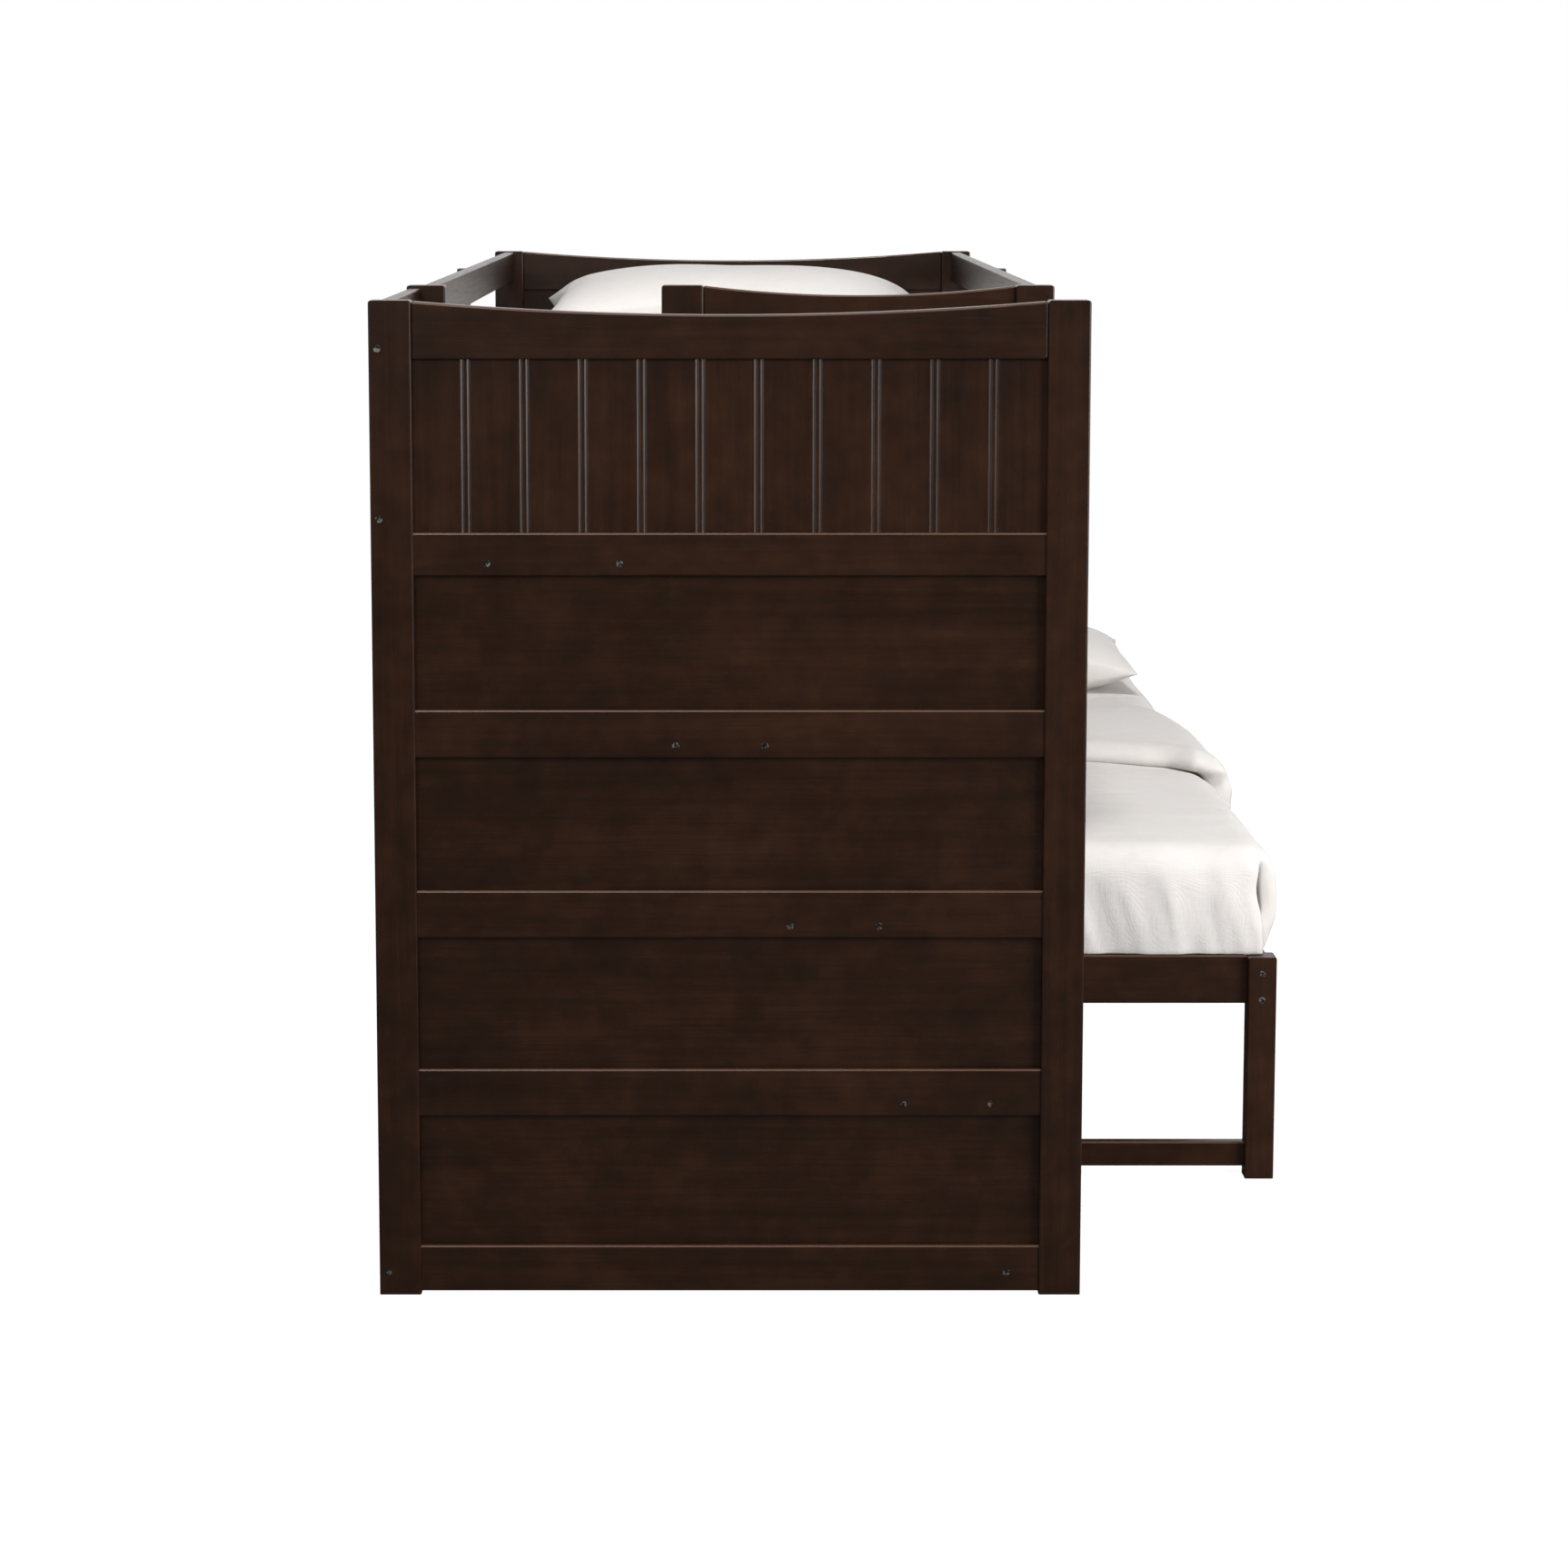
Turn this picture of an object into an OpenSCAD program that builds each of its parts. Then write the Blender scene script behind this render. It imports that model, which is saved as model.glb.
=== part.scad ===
// Twin over full bunk bed with a storage staircase at its foot and a trundle
// on casters under the lower bed. Millimetres, +Z up, +Y from the staircase
// to the head end, +X to the side that people get in from. The origin is on
// the floor, at the middle of the whole object.

/* [Overall] */
// Width of the upper bunk over its posts
bunk_w = 1080; // [1060:4:1120]
// Width of the lower bed over its legs
bed_w = 1472; // [1456:4:1520]
// Length of the bed over its two end frames
bed_len = 2006; // [2002:2:2060]
// Length that the staircase adds at the foot
stair_len = 568; // [540:4:600]
// Height over the posts
bunk_h = 1532; // [1520:4:1560]

/* [Timber] */
// Width of posts and stiles
post_w = 64; // [60:1:70]
// Thickness of the posts of the two end frames
post_t = 38; // [36:1:45]
// Thickness of the stiles of the staircase's end panel
stile_t = 35; // [32:1:40]
// Thickness of rails, guard boards and side rails
board_t = 22; // [20:1:24]
// Width of the short front legs
leg_w = 49; // [45:1:55]

/* [Staircase] */
// Rise from one tread to the next
rise = 278.5; // [270:0.5:290]
// Going from one tread to the next
going = 174; // [160:1:180]
// Depth of a tread
tread_d = 215; // [205:1:225]
// Thickness of treads and landing
tread_t = 25; // [22:1:28]
// Height of the first tread's middle above the floor
first_tread_z = 301; // [290:1:310]
// Depth of a drawer box
drawer_d = 360; // [300:5:370]

/* [Bedding] */
// Thickness of the lower mattress
lower_mattress_t = 190; // [150:5:220]
// Thickness of the upper mattress
upper_mattress_t = 190; // [150:5:200]
// Thickness of the trundle's mattress
trundle_mattress_t = 150; // [120:5:160]

/* [Hidden] */
$fn = 32;

// Finish colours
wood = [0.19, 0.11, 0.085];
raw_wood = [0.72, 0.58, 0.42];
steel = [0.16, 0.15, 0.14];
bright_steel = [0.6, 0.6, 0.62];
rubber = [0.2, 0.2, 0.2];
linen = [0.9, 0.88, 0.86];
ticking = [0.93, 0.93, 0.92];

// Planes of the whole bed
x_back = -bed_w / 2;
x_front = bed_w / 2;
x_bunk = x_back + bunk_w;
y_panel = -(bed_len + stair_len) / 2;
y_foot = y_panel + stair_len;
y_head = (bed_len + stair_len) / 2;
foot_in = y_foot + post_t;
head_in = y_head - post_t;
x_post_back = x_back + post_w;
x_post_front = x_bunk - post_w;
x_leg = x_front - leg_w;
y_mid = (foot_in + head_in) / 2;

// End panel of the staircase
rail_set = 3;             // how far the rails lie behind the stiles
rail_t = stile_t - rail_set;
rail_h = 73;
base_z = 5;               // the rails stop this far above the floor
base_h = 72;
guard_rail_h = 65;
guard_rail_top = base_z + base_h + 3 * rise + 270;
top_rail_h = 88;
panel_in = y_panel + stile_t;
flat_t = 8;
flat_set = 14;            // the flat panels lie this far behind the stiles
groove_d = 8;             // how far panels go into the rails and stiles
top_rail_z = bunk_h - top_rail_h;
sag = 20;                 // dip of the curved top rails

// Beadboard
bead_t = 12;
bead_set = 11;
bead_pitch = 88;
bead_gap = 9.7;           // between the two grooves of a pair
bead_w = 5.2;
bead_d = 1.7;

// Staircase
side_t = 18;              // thickness of the inner side
nosing = 9;               // how far a tread stands over the drawer under it
tread_front_1 = 249;
landing_front = -311;
x_stair_back = x_back + 23;
stair_in = y_foot - side_t;
base_rail_h = 59;
base_rail_t = 20;
bolt_z_low = 35;
guard_board_h = 134;
guard_board_z = [1204, 1460];

// Bolts
bolt_r = 3;
bolt_hole_r = 3.05;
cap_r = 5.5;
cap_t = 3;                // the caps lie in counterbores, flush with the wood
socket_w = 5;
bolt_in = 45;             // how far a bolt goes into the second piece

// Eased edges
ease_r = 2.5;
top_r = 4;

// Drawers
front_t = 18;
gap = 3;
box_t = 12;
box_h = 170;
box_side = 14;            // between a drawer box and the walls beside it
runner_h = 15;
knob_r = 16;

// Bed frame
low_rail_set = 16;        // the low end rails lie this far behind the posts' outer faces
up_rail_set = 8;          // and the rails above them this far
end_rail_z = 304;
end_rail_top = 388;
side_rail_z = 288;
stretcher_z = 17;
stretcher_h = 43;
stretcher_t = 20;
upper_rail_z = 1075;
upper_rail_top = 1182;
guard_h = 64;
guard_top = 1530;
guard_gap = 101;
lower_head_z = 690;
head_low_h = 70;          // height of the rail that the lower headboard stands on
ledger_w = 22;
ledger_h = 30;
beam_h = 42;              // height of the middle beam under the lower slats
lower_deck_z = 330;
upper_deck_z = 1110;
lower_slat_t = 15;
upper_slat_t = 12;
gate_w = 70;

// Trundle
trundle_x = x_back + 20;
trundle_w = 1030;
trundle_y = foot_in + 6;
trundle_len = head_in - foot_in - 12;
trundle_z = 40;
trundle_board_h = 110;
trundle_deck_z = 88;
trundle_end_t = 18;
wheel_r = 25;
wheel_w = 20;
axle_r = 4;
axle_gap = 0.05;          // radial clearance of a wheel on its axle
wheel_x = [trundle_x + 76, trundle_x + trundle_w - 76];
wheel_y = [trundle_y + 60, trundle_y + trundle_len - 60];

// --- Shared shapes ---------------------------------------------------------

// A sharp box between two corners, for cutting and for soft pieces
module box(low, high) {
    translate(low) cube(high - low);
}

// A rectangle whose corners are eased with a small round
function arc(x, y, r, from) =
    [for (i = [0:2]) [x + r * cos(from + i * 45), y + r * sin(from + i * 45)]];
function eased(w, h, r) =
    concat(arc(w - r, h - r, r, 0), arc(r, h - r, r, 90), arc(r, r, r, 180), arc(w - r, r, r, 270));

// A board between two corners, its four long edges eased
module block(low, high) {
    size = high - low;
    longest = max(size);
    r = min(ease_r, min(size) / 5);
    translate(low)
        if (size[0] == longest)
            multmatrix([[0, 0, 1, 0], [1, 0, 0, 0], [0, 1, 0, 0]])
                linear_extrude(size[0]) polygon(eased(size[1], size[2], r));
        else if (size[1] == longest)
            multmatrix([[0, 1, 0, 0], [0, 0, 1, 0], [1, 0, 0, 0]])
                linear_extrude(size[1]) polygon(eased(size[2], size[0], r));
        else
            linear_extrude(size[2]) polygon(eased(size[0], size[1], r));
}

// A post that stands between two corners: its long edges and its top corners are eased
module upright(low, high) {
    size = high - low;
    intersection() {
        block(low, high);
        translate([low[0], high[1] + 1, low[2]]) rotate([90, 0, 0])
            linear_extrude(size[1] + 2)
                polygon(concat([[0, 0], [size[0], 0]], arc(size[0] - top_r, size[2] - top_r, top_r, 0),
                               arc(top_r, size[2] - top_r, top_r, 90)));
    }
}

// A bolt along +Y whose cap ends flush with the plane y = 0, seen from -Y
module bolt(length) {
    rotate([-90, 0, 0]) difference() {
        union() {
            cylinder(r = cap_r, h = cap_t);
            cylinder(r = bolt_r, h = length);
        }
        translate([0, 0, -1]) cylinder(d = socket_w, h = cap_t, $fn = 6);
    }
}

// The clearance hole of such a bolt, and the counterbore of its cap
module bolt_bore(length) {
    translate([0, -1, 0]) rotate([-90, 0, 0]) cylinder(r = bolt_hole_r, h = length + 1.5);
}

module cap_bore() {
    translate([0, -1, 0]) rotate([-90, 0, 0]) cylinder(r = cap_r + 0.05, h = cap_t + 1);
}

// Radius of a circle whose chord and rise are given
function arc_radius(chord, dip) = chord * chord / (8 * dip) + dip / 2;

// A rail whose top edge dips in a long arc
module curved_rail(x0, x1, y0, y1, z0, z1, dip) {
    radius = arc_radius(x1 - x0, dip);
    difference() {
        box([x0, y0, z0], [x1, y1, z1]);
        translate([(x0 + x1) / 2, y0 - 1, z1 - dip + radius])
            rotate([-90, 0, 0]) cylinder(r = radius, h = y1 - y0 + 2, $fn = 720);
    }
}

// One V groove of a beadboard's outline, as points from left to right
function vee(x, y, into) = [[x - bead_w / 2, y], [x, y + into * bead_d], [x + bead_w / 2, y]];

// A beadboard from x0 to x1 with pairs of grooves on both faces
module beadboard(x0, x1, y, z0, z1) {
    middle = (x0 + x1) / 2;
    pairs = 2 * floor(((x1 - x0) / 2 - 30) / bead_pitch + 0.45);
    first = middle - (pairs - 1) / 2 * bead_pitch;
    lines = [for (i = [0:pairs - 1]) for (s = [-1, 1]) first + i * bead_pitch + s * bead_gap / 2];
    count = len(lines);
    front = [for (i = [0:count - 1]) each vee(lines[i], 0, 1)];
    back = [for (i = [count - 1:-1:0]) let (v = vee(lines[i], bead_t, -1)) each [v[2], v[1], v[0]]];
    translate([0, y, z0]) linear_extrude(z1 - z0)
        polygon(concat([[x0, 0]], front, [[x1, 0], [x1, bead_t]], back, [[x0, bead_t]]));
}

// --- End panel of the staircase ---------------------------------------------

function rail_top(k) = base_z + base_h + k * rise;
function tread_z(k) = first_tread_z + (k - 1) * rise;
function tread_top(k) = tread_z(k) + tread_t / 2;
function tread_front(k) = k == 4 ? landing_front : tread_front_1 - (k - 1) * going;
function tread_back(k) = k == 4 ? x_stair_back : tread_front(k) - tread_d;
// Where the bolts of tread k stand, front one first
function tread_bolts(k) = k == 4 ? [landing_front - 51, landing_front - 251]
                                 : [tread_front(k) - 44, tread_front(k) - 179];
kick_x = tread_front_1 - nosing - base_rail_t / 2;
back_board_x = x_back + 13;

// Bolts through the end panel, as [x, z]
tread_bolt_spots = [for (k = [1:4]) for (x = tread_bolts(k)) [x, tread_z(k)]];
stile_bolt_spots = concat([for (z = guard_board_z) [back_board_x, z]], [[back_board_x, bolt_z_low]]);
kick_bolt_spots = [[kick_x, bolt_z_low]];

module panel_bores(spots, y) {
    for (s = spots) translate([s[0], y, s[1]]) {
        bolt_bore(stile_t + 1);
        cap_bore();
    }
}

// A groove all along a stile's inner edge for the panels
module stile_groove(x, side) {
    reach = groove_d + 0.5;
    low = side > 0 ? x - reach : x;
    box([low, y_panel + bead_set - 0.2, rail_top(0) - reach],
        [low + reach, y_panel + bead_set + bead_t + 0.2, top_rail_z + reach]);
}

module end_panel_back_stile() {
    color(wood) difference() {
        upright([x_back, y_panel, 0], [x_post_back, panel_in, bunk_h]);
        stile_groove(x_post_back, 1);
        panel_bores(stile_bolt_spots, y_panel);
    }
}

module end_panel_front_stile() {
    color(wood) difference() {
        upright([x_post_front, y_panel, 0], [x_bunk, panel_in, bunk_h]);
        stile_groove(x_post_front, -1);
    }
}

// A straight rail of the end panel with a panel groove in each long edge
module panel_rail(z0, z1, below, above, spots) {
    reach = groove_d + 0.5;
    difference() {
        block([x_post_back, y_panel + rail_set, z0], [x_post_front, panel_in, z1]);
        if (below)
            box([x_post_back - 1, y_panel + flat_set - 0.2, z0 - 1],
                [x_post_front + 1, y_panel + flat_set + flat_t + 0.2, z0 + reach]);
        if (above)
            box([x_post_back - 1, y_panel + (above == 2 ? bead_set : flat_set) - 0.2, z1 - reach],
                [x_post_front + 1, y_panel + (above == 2 ? bead_set + bead_t : flat_set + flat_t) + 0.2,
                 z1 + 1]);
        panel_bores(spots, y_panel + rail_set);
    }
}

module end_panel_top_rail() {
    color(wood) difference() {
        curved_rail(x_post_back, x_post_front, y_panel + rail_set, panel_in, top_rail_z, bunk_h - 2, sag);
        box([x_post_back - 1, y_panel + bead_set - 0.2, top_rail_z - 1],
            [x_post_front + 1, y_panel + bead_set + bead_t + 0.2, top_rail_z + groove_d + 0.5]);
    }
}

module end_panel_guard_rail() {
    color(wood) panel_rail(guard_rail_top - guard_rail_h, guard_rail_top, true, 2,
                           [for (x = tread_bolts(4)) [x, tread_z(4)]]);
}

module end_panel_cross_rails() {
    color(wood) {
        panel_rail(base_z, rail_top(0), false, 1, kick_bolt_spots);
        for (k = [1:3])
            panel_rail(rail_top(k) - rail_h, rail_top(k), true, 1,
                       [for (x = tread_bolts(k)) [x, tread_z(k)]]);
    }
}

module end_panel_beadboard() {
    color(wood) beadboard(x_post_back - groove_d, x_post_front + groove_d, y_panel + bead_set,
                          guard_rail_top - groove_d, top_rail_z + groove_d);
}

module end_panel_flats() {
    tops = [for (k = [1:3]) rail_top(k) - rail_h, guard_rail_top - guard_rail_h];
    color(wood) for (k = [0:3])
        block([x_post_back - groove_d, y_panel + flat_set, rail_top(k) - groove_d],
              [x_post_front + groove_d, y_panel + flat_set + flat_t, tops[k] + groove_d]);
}

module end_panel_bolts() {
    color(steel) {
        for (s = concat(tread_bolt_spots, kick_bolt_spots))
            translate([s[0], y_panel + rail_set, s[1]]) bolt(rail_t + bolt_in);
        for (s = stile_bolt_spots)
            translate([s[0], y_panel, s[1]]) bolt(stile_t + bolt_in);
    }
}

// --- Staircase ---------------------------------------------------------------

// Holes in the end of a piece that starts at the end panel's inner face
module end_bores(spots) {
    for (s = spots) translate([s[0], panel_in, s[1]]) bolt_bore(bolt_in);
}

module tread(k) {
    color(wood) difference() {
        block([tread_back(k), panel_in, tread_z(k) - tread_t / 2],
              [tread_front(k), stair_in, tread_z(k) + tread_t / 2]);
        end_bores([for (x = tread_bolts(k)) [x, tread_z(k)]]);
    }
}

module stair_inner_side() {
    edge = [for (k = [1:4]) each [[tread_front(k), k == 1 ? base_z : tread_top(k - 1)],
                                  [tread_front(k), tread_top(k)]]];
    outline = concat([[x_stair_back, base_z]], edge, [[x_stair_back, tread_top(4)]]);
    color(wood) translate([0, y_foot, 0]) rotate([90, 0, 0]) linear_extrude(side_t) polygon(outline);
}

module stair_back_panel() {
    color(wood) block([x_stair_back, panel_in, base_z + base_rail_h],
                      [x_stair_back + 6, stair_in, tread_z(4) - tread_t / 2]);
}

module stair_base_rails() {
    color(wood) difference() {
        union() {
            block([kick_x - base_rail_t / 2, panel_in, base_z],
                  [kick_x + base_rail_t / 2, stair_in, base_z + base_rail_h]);
            block([back_board_x - base_rail_t / 2, panel_in, base_z],
                  [back_board_x + base_rail_t / 2, y_foot, base_z + base_rail_h]);
        }
        end_bores([[kick_x, bolt_z_low], [back_board_x, bolt_z_low]]);
    }
}

module landing_guard_boards() {
    color(wood) difference() {
        for (z = guard_board_z)
            block([back_board_x - base_rail_t / 2, panel_in, z - guard_board_h / 2],
                  [back_board_x + base_rail_t / 2, y_foot, z + guard_board_h / 2]);
        end_bores([for (z = guard_board_z) [back_board_x, z]]);
    }
}

// --- Drawers -------------------------------------------------------------------

// Floor of drawer k's space, and the plane of its front
function bay_z(k) = k == 1 ? base_z + base_rail_h : tread_top(k - 1);
function face_x(k) = tread_front(k) - nosing;
function box_z(k) = bay_z(k) + gap + runner_h + 0.5;

module drawer_runners() {
    color(raw_wood) for (k = [1:4]) for (y = [panel_in, stair_in - 24])
        block([face_x(k) - front_t - drawer_d, y, bay_z(k) + gap],
              [face_x(k) - front_t - 2, y + 24, bay_z(k) + gap + runner_h]);
}

module drawer_front(k) {
    color(wood) block([face_x(k) - front_t, panel_in + gap, bay_z(k) + gap],
                      [face_x(k), stair_in - gap, tread_z(k) - tread_t / 2 - gap]);
}

module drawer_box(k) {
    x0 = face_x(k) - front_t - drawer_d;
    x1 = face_x(k) - front_t;
    y0 = panel_in + box_side;
    y1 = stair_in - box_side;
    z0 = box_z(k);
    color(raw_wood) {
        for (y = [y0, y1 - box_t]) block([x0, y, z0], [x1, y + box_t, z0 + box_h]);
        for (x = [x0, x1 - box_t]) block([x, y0 + box_t, z0], [x + box_t, y1 - box_t, z0 + box_h]);
        block([x0 + box_t, y0 + box_t, z0 + 6], [x1 - box_t, y1 - box_t, z0 + 12]);
    }
}

module drawer_knob(k) {
    z = (bay_z(k) + tread_z(k) - tread_t / 2) / 2;
    neck = [[0, 0], [9, 0], [7, 6], [7, 11]];
    head = [[knob_r - 2, 16], [knob_r, 20], [knob_r - 2, 24], [8, 27], [0, 28]];
    color(bright_steel) translate([face_x(k), (panel_in + stair_in) / 2, z])
        rotate([0, 90, 0]) rotate_extrude($fn = 48) polygon(concat(neck, head));
}

// --- End frames -------------------------------------------------------------------

// Middles of the side rails and guards in X, and the heights of their bolts
rail_back_x = x_back + post_w / 2;
rail_front_x = x_bunk - post_w / 2;
leg_rail_x = x_front - leg_w / 2;
guard_zs = [guard_top - guard_h, guard_top - 2 * guard_h - guard_gap];
lower_bolt_z = [314, 360];
upper_bolt_z = [1107, 1168];
guard_bolt_z = [for (z = guard_zs) z + guard_h / 2];
// Every bolt of an end frame, as [x, z]
frame_bolt_spots = concat(
    [for (z = concat(lower_bolt_z, upper_bolt_z, guard_bolt_z)) [rail_back_x, z]],
    [for (z = concat(upper_bolt_z, guard_bolt_z)) [rail_front_x, z]],
    [for (z = lower_bolt_z) [leg_rail_x, z]]);

// Holes for those bolts, from the outer face of either end frame inwards
module frame_bores(reach) {
    for (s = frame_bolt_spots) for (end = [[y_foot, 0], [y_head, 1]])
        translate([s[0], end[0], s[1]]) mirror([0, end[1], 0]) {
            bolt_bore(reach);
            cap_bore();
        }
}

module post(x0, x1, y0, z0, z1) {
    color(wood) difference() {
        upright([x0, y0, z0], [x1, y0 + post_t, z1]);
        frame_bores(post_t + 2);
    }
}

module foot_back_post() post(x_back, x_post_back, y_foot, 0, bunk_h);
module foot_front_post() post(x_post_front, x_bunk, y_foot, 0, bunk_h);
module head_back_post() post(x_back, x_post_back, head_in, 0, bunk_h);
module head_front_post() post(x_post_front, x_bunk, head_in, 0, bunk_h);

module front_legs() {
    post(x_leg, x_front, y_foot, 0, end_rail_top);
    post(x_leg, x_front, head_in, 0, end_rail_top);
}

module foot_gate_post() {
    color(wood) difference() {
        upright([landing_front, y_foot, upper_rail_z], [landing_front + gate_w, foot_in, bunk_h]);
        box([landing_front - 1, y_foot + up_rail_set, upper_rail_z - 1],
            [landing_front + gate_w + 1, y_foot + up_rail_set + board_t, tread_top(4)]);
    }
}

// A groove along a curved rail's lower edge for its beadboard
module bead_groove(x0, x1, y, z0, z1) {
    box([x0 - 1, y - 0.2, z0], [x1 + 1, y + bead_t + 0.2, z1]);
}

foot_bead_y = y_foot + up_rail_set + (board_t - bead_t) / 2;
head_rail_y = y_head - up_rail_set - board_t;
head_bead_y = head_rail_y + (board_t - bead_t) / 2;

module foot_top_rail() {
    x0 = landing_front + gate_w;
    color(wood) difference() {
        curved_rail(x0, x_post_front, y_foot + up_rail_set, y_foot + up_rail_set + board_t,
                    top_rail_z, bunk_h - 1, sag - 4);
        bead_groove(x0, x_post_front, foot_bead_y, top_rail_z - 1, top_rail_z + groove_d + 0.5);
    }
}

module head_top_rail() {
    color(wood) difference() {
        curved_rail(x_post_back, x_post_front, head_rail_y, head_rail_y + board_t,
                    top_rail_z, bunk_h - 1, sag);
        bead_groove(x_post_back, x_post_front, head_bead_y, top_rail_z - 1, top_rail_z + groove_d + 0.5);
    }
}

// The low rail and stretcher of an end frame, between the posts and out to the front leg
module low_rails(y) {
    inset = (board_t - stretcher_t) / 2;
    for (span = [[x_post_back, x_post_front], [x_bunk, x_leg]]) {
        block([span[0], y, end_rail_z], [span[1], y + board_t, end_rail_top]);
        block([span[0], y + inset, stretcher_z],
              [span[1], y + inset + stretcher_t, stretcher_z + stretcher_h]);
    }
}

module foot_end_rails() {
    y = y_foot + up_rail_set;
    top = tread_top(4);
    color(wood) {
        low_rails(y_foot + low_rail_set);
        difference() {
            block([x_post_back, y, upper_rail_z], [x_post_front, y + board_t, top]);
            bead_groove(landing_front + gate_w, x_post_front, foot_bead_y, top - groove_d - 0.5, top + 1);
        }
    }
}

// A straight rail of the head end, with bead grooves below and above
module head_rail(z0, z1, below, above) {
    reach = groove_d + 0.5;
    difference() {
        block([x_post_back, head_rail_y, z0], [x_post_front, head_rail_y + board_t, z1]);
        if (below) bead_groove(x_post_back, x_post_front, head_bead_y, z0 - 1, z0 + reach);
        if (above) bead_groove(x_post_back, x_post_front, head_bead_y, z1 - reach, z1 + 1);
    }
}

module head_end_rails() {
    color(wood) {
        low_rails(y_head - low_rail_set - board_t);
        head_rail(end_rail_top, end_rail_top + head_low_h, false, true);
        head_rail(lower_head_z, lower_head_z + rail_h, true, false);
        head_rail(upper_rail_z, upper_rail_top, false, true);
    }
}

module bed_beadboards() {
    color(wood) {
        beadboard(landing_front + gate_w, x_post_front, foot_bead_y,
                  tread_top(4) - groove_d, top_rail_z + groove_d);
        beadboard(x_post_back, x_post_front, head_bead_y, upper_rail_top - groove_d, top_rail_z + groove_d);
        beadboard(x_post_back, x_post_front, head_bead_y,
                  end_rail_top + head_low_h - groove_d, lower_head_z + groove_d);
    }
}

// --- Side rails, guards and slats ---------------------------------------------------

// A board from end frame to end frame, centred on x
module long_board(x, z0, z1) {
    block([x - board_t / 2, foot_in, z0], [x + board_t / 2, head_in, z1]);
}

module side_rails() {
    color(wood) difference() {
        union() {
            long_board(rail_back_x, side_rail_z, end_rail_top);
            long_board(leg_rail_x, side_rail_z, end_rail_top);
            long_board(rail_back_x, upper_rail_z, upper_rail_top);
            long_board(rail_front_x, upper_rail_z, upper_rail_top);
        }
        frame_bores(post_t + bolt_in);
    }
}

module guard_rails() {
    color(wood) difference() {
        for (x = [rail_back_x, rail_front_x]) for (z = guard_zs) long_board(x, z, z + guard_h);
        frame_bores(post_t + bolt_in);
    }
}

// Uprights that carry the guards at the middle of the bed, on their outer sides
module guard_supports() {
    w = 60;
    color(wood) {
        block([x_back, y_mid - w / 2, upper_rail_z],
              [rail_back_x - board_t / 2, y_mid + w / 2, guard_top - 4]);
        block([rail_front_x + board_t / 2, y_mid - w / 2, upper_rail_z],
              [x_bunk, y_mid + w / 2, guard_top - 4]);
    }
}

module slat_ledgers() {
    inset = board_t / 2;
    color(raw_wood) {
        for (x = [rail_back_x + inset, leg_rail_x - inset - ledger_w])
            block([x, foot_in + 30, lower_deck_z - ledger_h], [x + ledger_w, head_in - 30, lower_deck_z]);
        for (x = [rail_back_x + inset, rail_front_x - inset - ledger_w])
            block([x, foot_in + 30, upper_deck_z - ledger_h], [x + ledger_w, head_in - 30, upper_deck_z]);
        block([-ledger_w / 2, y_foot + low_rail_set + board_t, lower_deck_z - beam_h],
              [ledger_w / 2, y_head - low_rail_set - board_t, lower_deck_z]);
    }
}

// A row of slats from x0 to x1 on a deck
module slats(x0, x1, z, t, w, count) {
    room = head_in - foot_in - 80 - w;
    for (i = [0:count - 1]) {
        y = foot_in + 40 + i * room / (count - 1);
        block([x0, y, z], [x1, y + w, z + t]);
    }
}

module upper_slats() {
    inset = board_t / 2 + 3;
    color(raw_wood) slats(rail_back_x + inset, rail_front_x - inset, upper_deck_z, upper_slat_t, 68, 14);
}

module lower_slats() {
    inset = board_t / 2 + 3;
    color(raw_wood) slats(rail_back_x + inset, leg_rail_x - inset, lower_deck_z, lower_slat_t, 88, 13);
}

module frame_bolts() {
    length = post_t + bolt_in - 2;
    color(steel) for (s = frame_bolt_spots) for (end = [[y_foot, 0], [y_head, 1]])
        translate([s[0], end[0], s[1]]) mirror([0, end[1], 0]) bolt(length);
}

// --- Trundle -----------------------------------------------------------------------

x_trundle_front = trundle_x + trundle_w;
slot_w = 110;             // hand slots in the front board
slot_h = 30;
trundle_front_top = 250;
hand_slot_z = trundle_front_top - 45;

module hand_slot(y) {
    run = slot_w - slot_h;
    translate([x_trundle_front - board_t - 1, y, hand_slot_z]) rotate([0, 90, 0]) {
        for (s = [-1, 1]) translate([0, s * run / 2, 0]) cylinder(d = slot_h, h = board_t + 2);
        translate([-slot_h / 2, -run / 2, 0]) cube([slot_h, run, board_t + 2]);
    }
}

module trundle_front_board() {
    color(wood) difference() {
        block([x_trundle_front - board_t, trundle_y, 22],
              [x_trundle_front, trundle_y + trundle_len, trundle_front_top]);
        for (y = [trundle_y + trundle_len / 4, trundle_y + trundle_len * 3 / 4]) hand_slot(y);
    }
}

trundle_in = [trundle_x + board_t, x_trundle_front - board_t];
caster_block = 76;
caster_top = 55;
bearer_w = 18;
bearer_h = 14;
trundle_slat_w = 70;
trundle_slat_count = 12;

// The back board and the two end boards
module trundle_boards() {
    top = trundle_z + trundle_board_h;
    color(wood) {
        block([trundle_x, trundle_y, trundle_z], [trundle_in[0], trundle_y + trundle_len, top]);
        for (y = [trundle_y, trundle_y + trundle_len - trundle_end_t])
            block([trundle_in[0], y, trundle_z], [trundle_in[1], y + trundle_end_t, top]);
    }
}

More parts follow.
